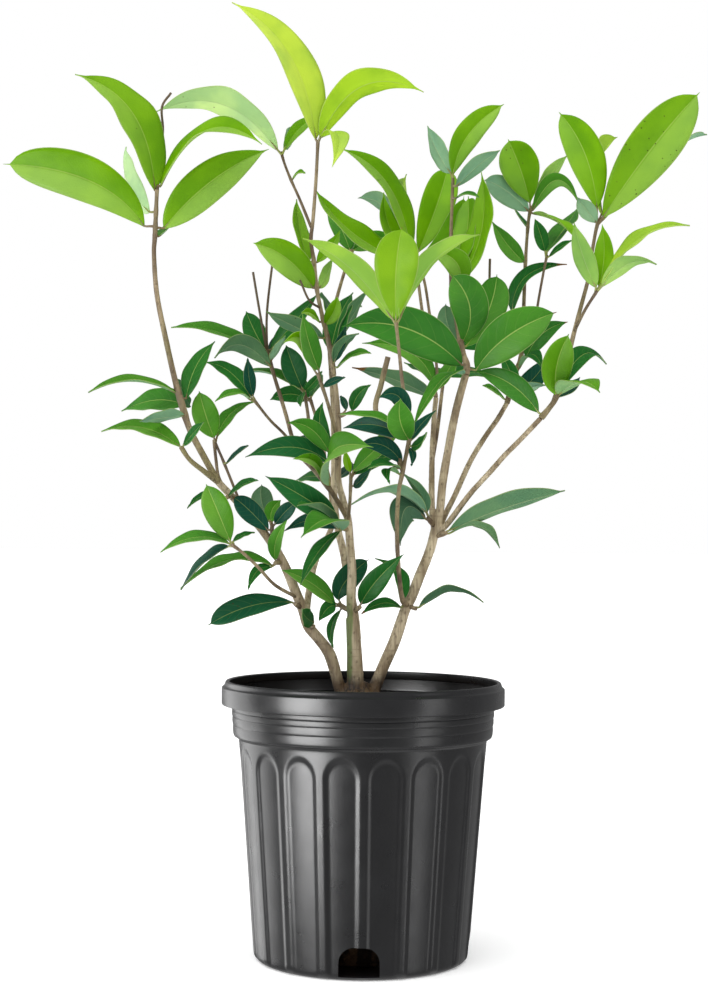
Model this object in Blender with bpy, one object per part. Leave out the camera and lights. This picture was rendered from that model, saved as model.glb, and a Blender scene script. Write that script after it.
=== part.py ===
# Potted tea olive: an evergreen shrub in a fluted nursery can. Metres, +Z up, front towards -Y.
import math

import bmesh
import bpy
from mathutils import Vector
from mathutils.bvhtree import BVHTree
from mathutils.geometry import intersect_point_line

# Driving dimensions of the can, a round wall with a collar, a band and a lip
potHeight = 0.221
bandRadius = 0.113
bandBottom = 0.202
bandTop = 0.2165
bandEdge = 0.0005
lipRadius = 0.1112
lipWidth = 0.0042
lipSkirt = 0.0020
lipEdge = 0.0006
collarTopRadius = 0.1050
collarLowRadius = 0.1033
collarBottom = 0.1775
bodyTopRadius = 0.0989
bodyTop = 0.1735
bodyLowRadius = 0.0862
footHeight = 0.004
baseRadius = 0.082
wall = 0.0018
innerStep = 0.001
floorThickness = 0.0025

# Arched panels round the can, their angles in degrees. The arch gives the share of its rise at each ring
# and the share of the panel's full width there.
panelCount = 18
panelTurn = 0.6
panelDepth = 0.0024
panelFoot = 0.009
footRecess = 0.4
panelSpring = 0.1530
panelTop = 0.1705
panelArch = ((0, 1.0), (0.62, 0.8), (0.9, 0.42), (1.0, 0.2))
outerArch = 0.35
landHalf = 1.35
slopeAngle = 2.8

# Drain openings at the foot, with round shoulders whose places are shares of the opening's size
drainWidth = 0.0314
drainTop = 0.026
drainCount = 4
drainTurn = -1.0
shoulderWidth = 0.5
shoulderStart = 0.45
shoulderSpring = 0.6
shoulderSteps = 5
drainDepth = 0.86

# Potting mix and root crown. A mound ring is a radius and a height, a crown ring a height and a share
# of the crown's radius.
gap = 0.0003
soilEdge = 0.1975
soilMound = 0.2070
moundRings = ((0.072, 0.2005), (0.030, 0.2062), (0.026, 0.2070))
soilSides = 36
crownRadius = 0.0165
crownBottom = 0.1770
crownRings = ((0.1770, 0.75), (0.190, 1.0), (0.204, 1.0), (0.213, 0.74), (0.220, 0.52))
crownSides = 12
crownX = -0.0046
holeReach = 0.01

# Leaves: thickness and stalk, then the fold, wave and bow of a blade as shares of its size
bladeThickness = 0.0009
petioleRadius = 0.0011
bladeFold = 0.26
bladeWave = 0.035
bladeBow = 0.07
bladeSkew = 0.9
bladeFullness = 0.75
leafSlimness = 0.30
leastFacing = 0.17
levelEnough = 0.05
stalkReach = 0.06
longLeaf = 0.090
longStations = (0.24, 0.54, 0.82)
shortStations = (0.32, 0.70)
testStations = (0.16, 0.38, 0.60, 0.82)
clearance = 0.0016
swingStep = 5
swingCount = 14

# Tubes and joined solids
caneSides = 6
twigSides = 5
straightEnough = 0.0011
tipMargin = 3.5
shortestEdge = 0.000002
crumbSize = 0.00002
sharpAngle = 40

# How the front view is laid out: a photo point, its size there and the eye's place
pixelSize = 0.0008
eyeDistance = 1.524
eyeHeight = 0.340
aimX = 364.65
aimY = 532.0
roll = 0.00873

# Canes: first and last width in pixels, then x, y and millimetres behind the can's axis
canes = {
    "left": (13, 7, [(348, 702, 0), (340, 688, 0), (330, 655, -3), (318, 638, -4), (308, 626, -6),
                     (303, 610, -8), (297, 595, -10), (282, 560, -16), (262, 530, -22), (240, 505, -28),
                     (218, 482, -32)]),
    "centre": (19, 13, [(356, 702, -2), (355, 670, -4), (354, 645, -5), (352, 618, -6)]),
    "centreUpper": (10.5, 5, [(354, 640, -5), (352, 618, -6), (351, 600, -9), (352, 570, -10), (350, 545, -11),
                              (348, 520, -12), (343, 500, -10), (338, 478, -8), (339, 440, -6),
                              (337, 400, -4), (334, 375, -2)]),
    "second": (9, 5.5, [(357, 640, 2), (354, 610, 6), (347, 575, 14), (343, 550, 22), (338, 530, 28),
                        (335, 505, 34), (334, 480, 40), (334, 440, 46), (333, 400, 50), (331, 370, 56)]),
    "centreLeft": (8, 6, [(306, 618, -7), (308, 598, 6), (312, 575, 22), (318, 555, 38), (326, 540, 50),
                          (333, 525, 60)]),
    "right": (13, 10, [(370, 702, 2), (375, 687, 4), (384, 665, 7), (395, 640, 10), (405, 610, 14),
                       (411, 598, 15), (420, 575, 18), (430, 550, 20), (435, 530, 22)]),
    "rightA": (7, 5.5, [(435, 534, 22), (432, 510, 22), (432, 460, 30), (434, 420, 38), (436, 397, 42)]),
    "rightB": (9, 8, [(436, 534, 21), (440, 510, 18), (443, 480, 14), (450, 440, 8), (455, 415, 4),
                      (460, 395, 0), (466, 374, -4)]),
    "rightC": (6.5, 5.5, [(438, 532, 22), (445, 515, 28), (455, 495, 36), (470, 462, 50), (485, 437, 62),
                          (497, 420, 70), (507, 403, 78)]),
    "rightD": (6.5, 5.5, [(438, 534, 20), (449, 522, 14), (470, 494, 8), (490, 472, 2), (505, 455, -4),
                          (520, 440, -10), (541, 418, -18)]),
}

# Leafy shoots: parent, twigs as above, then leaves as base, via, tip, shown width, tip's depth, side, tone.
# Side is 1 where the upper face shows and -1 for the underside. Tone runs from 0, old, to 4, new.
shoots = {
    "left_leader": ("woody_canes", [
        (7, 4, [(218, 482, -32), (203, 455, -34), (190, 430, -36), (182, 405, -36), (175, 380, -35),
                (166, 340, -33), (157, 295, -30), (154, 255, -27), (155, 235, -26), (157, 190, -25)]),
        (2.6, 2.4, [(157, 195, -25), (161, 150, -20), (163, 130, -18), (162, 107, -16), (171, 93, -14)]),
    ], [
        ((144, 226), (90, 191), (3, 164), 45, -20, 1, 3),
        ((164, 228), (213, 182), (269, 149), 40, 20, 1, 3),
        ((155, 190), (128, 115), (75, 74), 42, 30, 1, 3),
        ((160, 186), (206, 130), (262, 144), 14, -30, -1, 3),
        ((150, 212), (128, 180), (127, 147), 18, 62, -1, 2),
        ((158, 236), (172, 222), (182, 205), 18, 70, 1, 2),
        ((176, 392), (131, 378), (88, 392), 10, -25, -1, 2),
        ((184, 405), (155, 400), (121, 411), 23, 15, 1, 2),
        ((184, 415), (160, 417), (139, 421), 9, -42, -1, 2),
        ((186, 398), (196, 366), (215, 341), 15, 25, 1, 2),
        ((184, 405), (181, 392), (183, 380), 8, 52, 1, 1),
    ]),
    "left_low_twig": ("left_leader", [
        (6, 4, [(219, 483, -32), (205, 472, -40), (190, 460, -48), (181, 447, -54)]),
    ], [
        ((180, 446), (141, 427), (101, 431), 14, -20, 1, 2),
        ((183, 445), (193, 433), (203, 422), 10, -28, 1, 1),
    ]),
    "left_thin_twig": ("woody_canes", [
        (3.6, 3, [(228, 493, -30), (219, 478, -18), (216, 460, -10), (214, 440, -6)]),
        (3, 2.6, [(241, 505, -28), (231, 480, -14), (222, 458, -8), (214, 440, -6)]),
    ], [
        ((214, 438), (206, 416), (199, 391), 27, -18, 1, 2),
        ((217, 436), (232, 412), (256, 401), 13, 25, 1, 2),
        ((226, 463), (238, 452), (248, 445), 5, -15, 1, 0),
    ]),
    "left_outer_twig": ("woody_canes", [
        (3.6, 3, [(298, 598, -10), (275, 585, -32), (258, 567, -44), (243, 553, -52), (231, 544, -56)]),
    ], [
        ((230, 541), (218, 512), (206, 484), 28, -10, 1, 2),
        ((229, 543), (195, 537), (160, 552), 10, -20, 1, 2),
        ((228, 546), (203, 562), (180, 590), 8, 26, 1, 0),
        ((233, 541), (244, 534), (255, 532), 5, 15, 1, 1),
    ]),
    "left_cane_leaves": ("woody_canes", [
        (5, 4, [(281, 562, -16), (275, 563, -25)]),
    ], [
        ((272, 565), (228, 560), (180, 588), 9, -15, 1, 2),
        ((275, 560), (276, 540), (287, 520), 14, -22, 1, 2),
        ((271, 567), (257, 571), (248, 590), 10, -42, 1, 1),
    ]),
    "left_cane_spray": ("woody_canes", [
        (4, 3.2, [(272, 545, -20), (272, 524, -30)]),
    ], [
        ((268, 530), (248, 509), (233, 497), 21, -10, 1, 0),
        ((270, 522), (262, 503), (262, 485), 23, -26, -1, 1),
        ((272, 522), (272, 510), (281, 500), 15, -8, 1, 2),
        ((275, 524), (286, 511), (297, 502), 15, 22, 1, 0),
    ]),
    "left_upper_pair": ("woody_canes", [
        (4, 3.4, [(230, 495, -30), (225, 499, -38)]),
    ], [
        ((223, 500), (205, 495), (187, 508), 6, -20, 1, 1),
        ((228, 496), (243, 484), (258, 480), 7, -22, 1, 1),
    ]),
    "left_knot_leaf": ("woody_canes", [
        (5, 4, [(302, 608, -8), (295, 604, -18)]),
    ], [
        ((292, 602), (250, 606), (208, 625), 22, -22, 1, 0),
    ]),
    "left_inner_leaf": ("woody_canes", [
        (4, 3.4, [(310, 628, -6), (314, 626, -16)]),
    ], [
        ((314, 622), (306, 617), (303, 609), 13, -22, 1, 1),
    ]),
    "centre_low_left": ("woody_canes", [
        (5, 4, [(352, 612, -6), (343, 607, 1), (339, 604, 5)]),
    ], [
        ((335, 603), (310, 582), (282, 570), 17, -18, 1, 2),
        ((336, 606), (328, 608), (319, 621), 14, -22, 1, 1),
        ((340, 610), (331, 628), (333, 648), 8, -14, 1, 1),
        ((339, 600), (345, 582), (369, 559), 24, 40, 1, 0),
    ]),
    "centre_low_right": ("woody_canes", [
        (5, 4, [(353, 612, -6), (360, 607, -14)]),
    ], [
        ((361, 604), (377, 580), (404, 554), 22, -16, 1, 1),
    ]),
    "centre_left_leaves": ("woody_canes", [
        (4.6, 4, [(348, 530, -12), (341, 527, -22)]),
    ], [
        ((336, 519), (302, 496), (265, 476), 26, -26, -1, 1),
        ((338, 523), (316, 506), (297, 505), 7, -42, -1, 2),
        ((337, 528), (312, 520), (284, 531), 16, -24, 1, 0),
        ((341, 530), (326, 519), (301, 537), 14, -34, 1, 2),
        ((339, 531), (318, 552), (300, 585), 13, -30, 1, 1),
    ]),
    "centre_mid_leaves": ("woody_canes", [
        (4.6, 4, [(338, 458, -7), (331, 455, -20)]),
    ], [
        ((329, 452), (311, 429), (288, 423), 19, -24, 1, 2),
        ((330, 449), (320, 425), (323, 402), 16, 6, 1, 1),
        ((327, 461), (292, 447), (245, 457), 22, -14, 1, 1),
    ]),
    "centre_front_twig": ("woody_canes", [
        (3.6, 3, [(348, 522, -12), (350, 500, -26), (351, 475, -34)]),
    ], [
        ((350, 472), (347, 461), (345, 450), 8, -12, 1, 3),
        ((353, 471), (378, 447), (404, 426), 18, -10, 1, 2),
        ((354, 474), (376, 460), (400, 456), 15, 16, 1, 1),
        ((353, 486), (361, 480), (371, 468), 9, -22, 1, 0),
    ]),
    "mid_left": ("woody_canes", [
        (5, 3.6, [(348, 520, -12), (338, 502, -16), (328, 487, -17), (312, 468, -4), (300, 455, 8),
                  (293, 440, 16), (286, 415, 24), (280, 395, 26), (273, 372, 28), (267, 350, 30)]),
        (3, 2.8, [(300, 455, 8), (285, 435, 0), (270, 420, -8), (254, 400, -14)]),
        (4, 3.4, [(312, 468, -4), (310, 440, 26), (308, 415, 38), (304, 390, 44)]),
        (2.6, 2.4, [(267, 352, 30), (267, 312, 34), (273, 258, 38)]),
        (2.6, 2.4, [(267, 352, 30), (259, 308, 22), (253, 272, 18)]),
    ], [
        ((325, 484), (315, 462), (293, 459), 12, -26, 1, 3),
        ((329, 485), (334, 450), (373, 447), 18, -30, 1, 3),
        ((251, 397), (229, 371), (205, 362), 15, 20, 1, 1),
        ((250, 399), (235, 392), (215, 401), 8, -30, 1, 2),
        ((253, 396), (249, 376), (248, 358), 12, -26, 1, 0),
        ((262, 353), (215, 331), (171, 327), 14, -15, 1, 2),
        ((270, 366), (240, 344), (214, 358), 17, -34, -1, 2),
        ((264, 356), (248, 342), (230, 348), 14, 38, -1, 2),
        ((264, 348), (254, 330), (246, 311), 23, 34, 1, 1),
        ((270, 350), (296, 320), (317, 294), 18, -14, 1, 1),
        ((271, 355), (280, 340), (287, 323), 16, 50, 1, 0),
        ((271, 360), (278, 347), (285, 335), 6, -30, -1, 2),
        ((302, 388), (293, 366), (286, 345), 25, -10, 1, 0),
        ((301, 389), (262, 371), (233, 380), 7, -40, 1, 2),
        ((303, 392), (301, 398), (300, 406), 7, -26, 1, 1),
        ((305, 391), (314, 382), (322, 371), 10, -16, 1, 1),
    ]),
    "centre_leader": ("woody_canes", [
        (4.8, 3.2, [(334, 375, -2), (331, 355, 0), (327, 335, 0), (322, 315, 2), (317, 290, 4), (314, 262, 5),
                    (311, 240, 6), (313, 220, 6), (316, 180, 4), (318, 140, 0)]),
        (2.4, 2.2, [(320, 308, 2), (309, 300, -8), (300, 280, -14)]),
    ], [
        ((316, 139), (289, 54), (232, 2), 35, -10, 1, 4),
        ((320, 138), (363, 85), (424, 92), 22, -15, -1, 4),
        ((320, 137), (339, 136), (332, 167), 18, -46, 1, 4),
        ((309, 262), (300, 230), (297, 199), 14, 34, 1, 3),
        ((317, 262), (330, 248), (340, 230), 13, 22, 1, 3),
        ((313, 288), (286, 258), (253, 243), 32, -18, 1, 3),
        ((319, 288), (326, 274), (332, 258), 10, 24, -1, 3),
        ((325, 324), (334, 311), (337, 297), 15, -20, 1, 3),
        ((320, 322), (311, 313), (302, 313), 9, -26, 1, 3),
        ((323, 338), (294, 325), (266, 311), 14, -44, -1, 2),
        ((331, 350), (339, 318), (353, 292), 23, 10, 1, 1),
        ((336, 346), (350, 318), (368, 289), 9, 48, -1, 1),
        ((337, 367), (354, 354), (371, 353), 7, -24, 1, 2),
        ((333, 361), (340, 345), (346, 325), 12, -16, 1, 0),
        ((334, 362), (344, 342), (359, 333), 9, -32, -1, 2),
    ]),
    "centre_cane_pair": ("woody_canes", [
        (4, 3.2, [(336, 434, -6), (328, 404, -16), (318, 374, -24)]),
    ], [
        ((315, 371), (303, 340), (284, 343), 17, -24, 1, 3),
        ((319, 370), (309, 342), (303, 314), 19, -6, 1, 2),
        ((323, 386), (334, 381), (345, 377), 8, -16, 1, 0),
    ]),
    "centre_cane_small": ("woody_canes", [
        (4.4, 3.8, [(339, 416, -5), (345, 414, -14)]),
    ], [
        ((352, 411), (358, 395), (371, 385), 13, -20, 1, 1),
        ((346, 410), (344, 402), (340, 396), 7, -24, 1, 0),
    ]),
    "mid_left_top": ("centre_leader", [
        (3.2, 2.6, [(311, 227, 6), (300, 200, 16), (291, 180, 24), (285, 165, 30), (281, 152, 34)]),
    ], [
        ((278, 150), (221, 102), (155, 112), 16, -15, -1, 3),
        ((284, 150), (303, 125), (326, 115), 14, 18, 1, 3),
        ((285, 147), (290, 137), (295, 125), 7, 30, -1, 2),
        ((292, 179), (298, 172), (305, 173), 5, -18, 1, 2),
    ]),
    "upper_centre": ("woody_canes", [
        (3.8, 3, [(436, 397, 42), (433, 380, 46), (428, 350, 58), (422, 310, 72), (418, 280, 82),
                  (414, 252, 88)]),
        (3.2, 3, [(436, 390, 43), (437, 372, 44), (434, 345, 50), (429, 310, 60), (424, 280, 72),
                  (415, 252, 86)]),
    ], [
        ((411, 252), (388, 184), (340, 148), 25, -24, 1, 3),
        ((408, 262), (352, 232), (315, 188), 24, 14, 1, 3),
        ((418, 252), (436, 208), (448, 167), 32, 28, 1, 3),
        ((410, 248), (386, 207), (358, 198), 12, 40, -1, 2),
        ((412, 249), (399, 215), (407, 174), 16, 84, 1, 3),
        ((410, 256), (390, 228), (384, 192), 20, 74, 1, 3),
        ((420, 258), (450, 236), (464, 196), 32, 8, 1, 3),
        ((434, 384), (410, 352), (362, 343), 21, -20, 1, 2),
        ((431, 396), (394, 378), (352, 367), 11, -44, -1, 2),
        ((439, 388), (447, 372), (461, 350), 16, 26, 1, 2),
    ]),
    "upper_right": ("woody_canes", [
        (6, 2.8, [(466, 374, -4), (467, 366, -4), (463, 353, -2), (459, 335, 4), (455, 310, 10),
                  (452, 290, 16), (451, 240, 26), (452, 205, 30), (453, 178, 30)]),
        (2.8, 2.6, [(461, 345, 2), (478, 322, 34), (488, 300, 44), (490, 259, 48)]),
    ], [
        ((453, 174), (471, 133), (504, 104), 28, 10, 1, 3),
        ((451, 173), (437, 149), (428, 126), 16, 34, -1, 2),
        ((456, 186), (480, 163), (500, 150), 14, -34, -1, 2),
        ((455, 198), (467, 193), (479, 197), 6, -22, 1, 2),
        ((457, 284), (481, 232), (481, 172), 25, 34, 1, 3),
        ((455, 276), (466, 238), (468, 196), 30, 70, 1, 3),
        ((459, 287), (456, 262), (428, 250), 26, -34, 1, 2),
        ((462, 343), (468, 308), (451, 274), 34, -26, 1, 1),
        ((466, 346), (488, 312), (497, 274), 34, 16, 1, 1),
        ((459, 343), (448, 326), (446, 304), 17, 30, -1, 1),
        ((462, 365), (405, 328), (341, 327), 44, -26, 1, 2),
        ((476, 370), (508, 336), (557, 312), 42, -22, 1, 2),
        ((464, 374), (440, 381), (411, 430), 12, -34, 1, 2),
    ]),
    "upper_back_right": ("woody_canes", [
        (5, 3.2, [(507, 403, 78), (515, 375, 90), (522, 350, 98), (524, 300, 106), (525, 270, 110),
                  (528, 225, 112), (531, 207, 110)]),
        (3, 2.6, [(522, 352, 98), (533, 335, 92), (538, 303, 88), (543, 275, 84), (547, 255, 82)]),
    ], [
        ((530, 203), (523, 171), (508, 139), 38, -16, 1, 3),
        ((528, 211), (505, 190), (484, 180), 21, -40, -1, 2),
        ((534, 202), (551, 176), (567, 155), 14, 26, -1, 3),
        ((533, 210), (557, 180), (580, 205), 17, -18, 1, 3),
        ((533, 213), (561, 223), (582, 246), 10, -44, 1, 3),
        ((529, 228), (521, 218), (515, 208), 7, 26, 1, 1),
        ((524, 262), (507, 244), (492, 221), 19, -16, 1, 2),
        ((547, 251), (563, 230), (578, 207), 14, 28, 1, 2),
        ((545, 251), (541, 236), (535, 219), 15, -22, 1, 1),
        ((549, 256), (560, 247), (572, 240), 7, -24, 1, 1),
        ((527, 312), (545, 287), (567, 264), 12, -20, 1, 0),
        ((526, 358), (542, 334), (568, 322), 21, -22, 1, 1),
        ((505, 399), (494, 390), (483, 385), 7, -30, 1, 2),
        ((511, 393), (510, 372), (499, 353), 17, -18, 1, 1),
        ((514, 393), (533, 379), (548, 358), 22, 20, 1, 0),
        ((512, 398), (530, 387), (546, 385), 11, -34, -1, 2),
        ((519, 368), (532, 354), (543, 370), 11, -44, 1, 1),
    ]),
    "right_leader": ("woody_canes", [
        (5.5, 3.2, [(541, 418, -18), (550, 407, -20), (556, 397, -22), (566, 365, -24), (574, 333, -24),
                    (580, 310, -22), (588, 280, -20), (590, 265, -20), (595, 235, -18), (598, 222, -18)]),
    ], [
        ((603, 217), (652, 148), (700, 92), 48, -12, 1, 3),
        ((597, 208), (580, 160), (559, 112), 37, 26, 1, 3),
        ((601, 214), (605, 172), (617, 137), 20, 62, 1, 2),
        ((604, 218), (666, 154), (707, 134), 14, 44, 1, 2),
        ((596, 222), (586, 209), (577, 197), 13, -42, -1, 1),
        ((556, 395), (557, 365), (569, 334), 30, -30, 1, 2),
        ((561, 387), (584, 354), (607, 364), 17, 28, 1, 1),
        ((559, 394), (580, 381), (600, 392), 8, -34, 1, 3),
        ((557, 397), (568, 388), (580, 377), 14, 46, 1, 0),
        ((538, 412), (509, 383), (474, 371), 24, 12, 1, 2),
    ]),
    "right_side": ("right_leader", [
        (3.2, 2.8, [(574, 332, -24), (585, 310, -42), (597, 291, -56)]),
    ], [
        ((600, 286), (641, 237), (690, 225), 14, -16, -1, 2),
        ((602, 286), (630, 262), (657, 264), 12, -44, -1, 2),
        ((596, 287), (583, 255), (574, 222), 19, -24, -1, 3),
        ((599, 286), (604, 255), (602, 224), 19, 18, 1, 3),
    ]),
    "front_bright": ("woody_canes", [
        (5, 3.2, [(408, 606, 15), (402, 598, 0), (398, 560, -22), (397, 520, -38), (399, 490, -50),
                  (402, 475, -56), (405, 460, -62), (409, 440, -70), (408, 420, -76), (405, 400, -82),
                  (402, 380, -88), (400, 360, -94), (396, 322, -104)]),
        (5, 5.5, [(403, 470, -58), (394, 448, -52), (376, 412, -44), (381, 385, -42), (388, 357, -42)]),
    ], [
        ((396, 320), (396, 271), (402, 227), 44, -10, 1, 4),
        ((393, 319), (352, 268), (303, 238), 18, -15, -1, 4),
        ((399, 319), (432, 261), (480, 234), 13, -15, -1, 4),
        ((409, 440), (400, 420), (401, 399), 26, -22, 1, 2),
        ((405, 430), (374, 416), (340, 414), 7, -6, 1, 2),
        ((408, 420), (398, 396), (379, 398), 17, -20, 1, 0),
        ((411, 440), (421, 424), (436, 410), 10, -14, 1, 0),
        ((411, 446), (420, 443), (426, 432), 8, -32, 1, 1),
        ((409, 448), (413, 455), (411, 466), 7, -24, 1, 0),
        ((400, 474), (387, 469), (390, 484), 6, -30, 1, 1),
        ((399, 468), (385, 463), (368, 468), 8, -44, 1, 1),
        ((405, 438), (376, 425), (343, 428), 19, 24, 1, 0),
        ((402, 463), (382, 445), (356, 447), 17, 26, 1, 0),
        ((401, 601), (399, 574), (375, 558), 12, -26, 1, 1),
        ((401, 607), (382, 603), (361, 614), 10, -20, 1, 1),
    ]),
    "right_cane_leaf": ("woody_canes", [
        (4, 3.4, [(409, 606, 14), (416, 609, 4)]),
    ], [
        ((419, 607), (452, 590), (484, 602), 7, -22, 1, 1),
    ]),
    "right_knot_left": ("woody_canes", [
        (5, 4, [(434, 526, 21), (428, 518, 8)]),
    ], [
        ((426, 512), (392, 491), (351, 504), 9, -30, -1, 2),
        ((427, 512), (420, 492), (403, 473), 12, -12, -1, 1),
        ((425, 519), (404, 502), (400, 546), 24, -30, 1, 0),
    ]),
    "right_knot_right": ("woody_canes", [
        (5, 4, [(437, 536, 21), (446, 533, 8)]),
    ], [
        ((449, 530), (502, 514), (565, 490), 18, -20, 1, 2),
        ((449, 533), (480, 525), (500, 548), 7, -38, -1, 1),
    ]),
    "back_right": ("woody_canes", [
        (4.6, 3.4, [(432, 462, 30), (437, 432, 62), (441, 400, 96), (445, 365, 124), (447, 338, 144)]),
    ], [
        ((446, 336), (456, 316), (468, 292), 24, 36, 1, 1),
        ((444, 338), (420, 332), (396, 326), 22, 30, 1, 1),
        ((449, 340), (480, 340), (508, 336), 22, 20, 1, 1),
        ((446, 345), (442, 340), (436, 330), 18, 74, 1, 1),
        ((443, 376), (428, 372), (404, 362), 14, 60, 1, 1),
        ((445, 376), (470, 372), (498, 378), 16, 56, 1, 1),
    ]),
    "back_centre": ("woody_canes", [
        (5, 3.2, [(331, 370, 56), (330, 345, 76), (334, 310, 100), (345, 270, 126), (352, 250, 136)]),
    ], [
        ((350, 250), (340, 226), (326, 202), 22, 34, 1, 2),
        ((354, 250), (372, 240), (392, 236), 20, 26, 1, 2),
        ((352, 254), (352, 246), (358, 236), 16, 76, 1, 2),
        ((332, 326), (330, 310), (322, 292), 16, 60, 1, 1),
        ((335, 318), (348, 308), (362, 306), 16, 56, 1, 1),
    ]),
    "back_left": ("woody_canes", [
        (5.5, 3.4, [(333, 525, 60), (331, 495, 76), (325, 460, 94), (318, 425, 108), (310, 398, 120)]),
    ], [
        ((308, 398), (296, 380), (286, 360), 18, 30, 1, 1),
        ((311, 396), (316, 386), (320, 372), 16, 62, 1, 1),
        ((307, 400), (290, 394), (270, 400), 18, 52, 1, 1),
        ((323, 448), (304, 442), (282, 446), 18, 40, 1, 0),
        ((326, 450), (340, 440), (356, 436), 16, 54, 1, 1),
        ((329, 480), (312, 476), (296, 480), 14, 62, 1, 1),
        ((331, 482), (345, 472), (352, 462), 14, 60, 1, 0),
    ]),
}

# Surface colours of each kind of piece: base colour, roughness
finishes = {
    "pot": ((0.010, 0.010, 0.011, 1), 0.36),
    "potting_mix": ((0.055, 0.036, 0.022, 1), 0.95),
    "woody_canes": ((0.24, 0.20, 0.11, 1), 0.80),
}

# Leaf colour of the oldest and the newest tone
oldLeaf = (0.012, 0.090, 0.030, 1)
newLeaf = (0.420, 0.620, 0.060, 1)
newestTone = 4
leafRoughness = 0.45


# The scene starts empty
def clearScene():
    for old in list(bpy.data.objects):
        bpy.data.objects.remove(old, do_unlink=True)


def makeMaterial(name, finish):
    colour, roughness = finish
    material = bpy.data.materials.new(name)
    material.use_nodes = True
    shader = material.node_tree.nodes["Principled BSDF"]
    shader.inputs["Base Color"].default_value = colour
    shader.inputs["Roughness"].default_value = roughness
    shader.inputs["Metallic"].default_value = 0.0
    return material


def makeObject(name, vertices, faces):
    mesh = bpy.data.meshes.new(name)
    mesh.from_pydata([tuple(v) for v in vertices], [], faces)
    bm = bmesh.new()
    bm.from_mesh(mesh)
    bmesh.ops.recalc_face_normals(bm, faces=bm.faces)
    bm.to_mesh(mesh)
    bm.free()
    made = bpy.data.objects.new(name, mesh)
    bpy.context.scene.collection.objects.link(made)
    return made


def volumeOf(mesh):
    bm = bmesh.new()
    bm.from_mesh(mesh)
    volume = bm.calc_volume()
    bm.free()
    return volume


# True where every edge has two faces and some length, the faces all hang together and no more is enclosed
# than most can be
def isSound(mesh, most):
    bm = bmesh.new()
    bm.from_mesh(mesh)
    sound = all(len(edge.link_faces) == 2 and edge.calc_length() > shortestEdge for edge in bm.edges)
    sound = sound and 0 < bm.calc_volume() < most
    reached = set()
    waiting = [bm.verts[:][0]] if bm.verts else []
    while waiting:
        vertex = waiting.pop()
        if vertex not in reached:
            reached.add(vertex)
            waiting += [edge.other_vert(vertex) for edge in vertex.link_edges]
    whole = len(reached) == len(bm.verts)
    bm.free()
    return sound and whole


# Splits a joined mesh into triangles, after closing up edges that are shorter than a crumb
def tidyMesh(mesh, crumb):
    bm = bmesh.new()
    bm.from_mesh(mesh)
    if crumb:
        bmesh.ops.dissolve_degenerate(bm, dist=crumb, edges=bm.edges)
    bmesh.ops.triangulate(bm, faces=bm.faces)
    bm.to_mesh(mesh)
    bm.free()


# Applies one Boolean on a collection, by MANIFOLD where EXACT leaves a flaw, and removes what it used
def applyBoolean(target, operation, tools):
    holder = bpy.data.collections.new(target.name + "_tools")
    bpy.context.scene.collection.children.link(holder)
    for tool in tools:
        for home in list(tool.users_collection):
            home.objects.unlink(tool)
        holder.objects.link(tool)
    modifier = target.modifiers.new(operation.lower(), "BOOLEAN")
    modifier.operation = operation
    modifier.operand_type = "COLLECTION"
    modifier.collection = holder
    most = volumeOf(target.data)
    if operation == "UNION":
        most += sum(volumeOf(tool.data) for tool in holder.objects)
    for solver, crumb in (("EXACT", 0), ("EXACT", crumbSize), ("MANIFOLD", 0), ("MANIFOLD", crumbSize)):
        modifier.solver = solver
        depsgraph = bpy.context.evaluated_depsgraph_get()
        joined = bpy.data.meshes.new_from_object(target.evaluated_get(depsgraph))
        tidyMesh(joined, crumb)
        if isSound(joined, most):
            break
    target.modifiers.clear()
    target.data = joined
    for tool in list(holder.objects):
        bpy.data.objects.remove(tool, do_unlink=True)
    bpy.data.collections.remove(holder)


# Where a point of the front view lies, back metres behind the can's axis
def place(x, y, back):
    across = (x - aimX) + (y - aimY) * roll
    down = (y - aimY) - (x - aimX) * roll
    scale = pixelSize * (1 + back / eyeDistance)
    return Vector((across * scale, back, eyeHeight - down * scale))


# A twig's points, without those that lie close to the straight line between their neighbours
def twigPath(points):
    path = [place(x, y, back / 1000) for x, y, back in points]
    kept = [path[0]]
    for point, after in zip(path[1:], path[2:]):
        onLine, share = intersect_point_line(point, kept[-1], after)
        if (point - onLine).length > straightEnough:
            kept.append(point)
    return kept + [path[-1]]


def twigRadii(first, last, path):
    lengths = [0.0]
    for a, b in zip(path, path[1:]):
        lengths.append(lengths[-1] + (b - a).length)
    return [(first + (last - first) * s / lengths[-1]) * pixelSize / 2 for s in lengths]


# A closed tube with flat ends round a path, its sides carried along without twist
def tubeMesh(path, radii, sides, grow=0.0):
    vertices = []
    faces = []
    side = None
    last = len(path) - 1
    for i, point in enumerate(path):
        along = (path[min(i + 1, last)] - path[max(i - 1, 0)]).normalized()
        if side is None:
            side = along.orthogonal()
        side = (side - along * side.dot(along)).normalized()
        other = along.cross(side)
        shift = along * grow * ((i == last) - (i == 0))
        for k in range(sides):
            angle = 2 * math.pi * k / sides
            spread = side * math.cos(angle) + other * math.sin(angle)
            vertices.append(point + shift + spread * (radii[i] + grow))
    for i in range(last):
        for k in range(sides):
            a = i * sides + k
            b = i * sides + (k + 1) % sides
            faces.append((a, b, b + sides, a + sides))
    faces.append(tuple(reversed(range(sides))))
    faces.append(tuple(range(last * sides, (last + 1) * sides)))
    return vertices, faces


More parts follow.
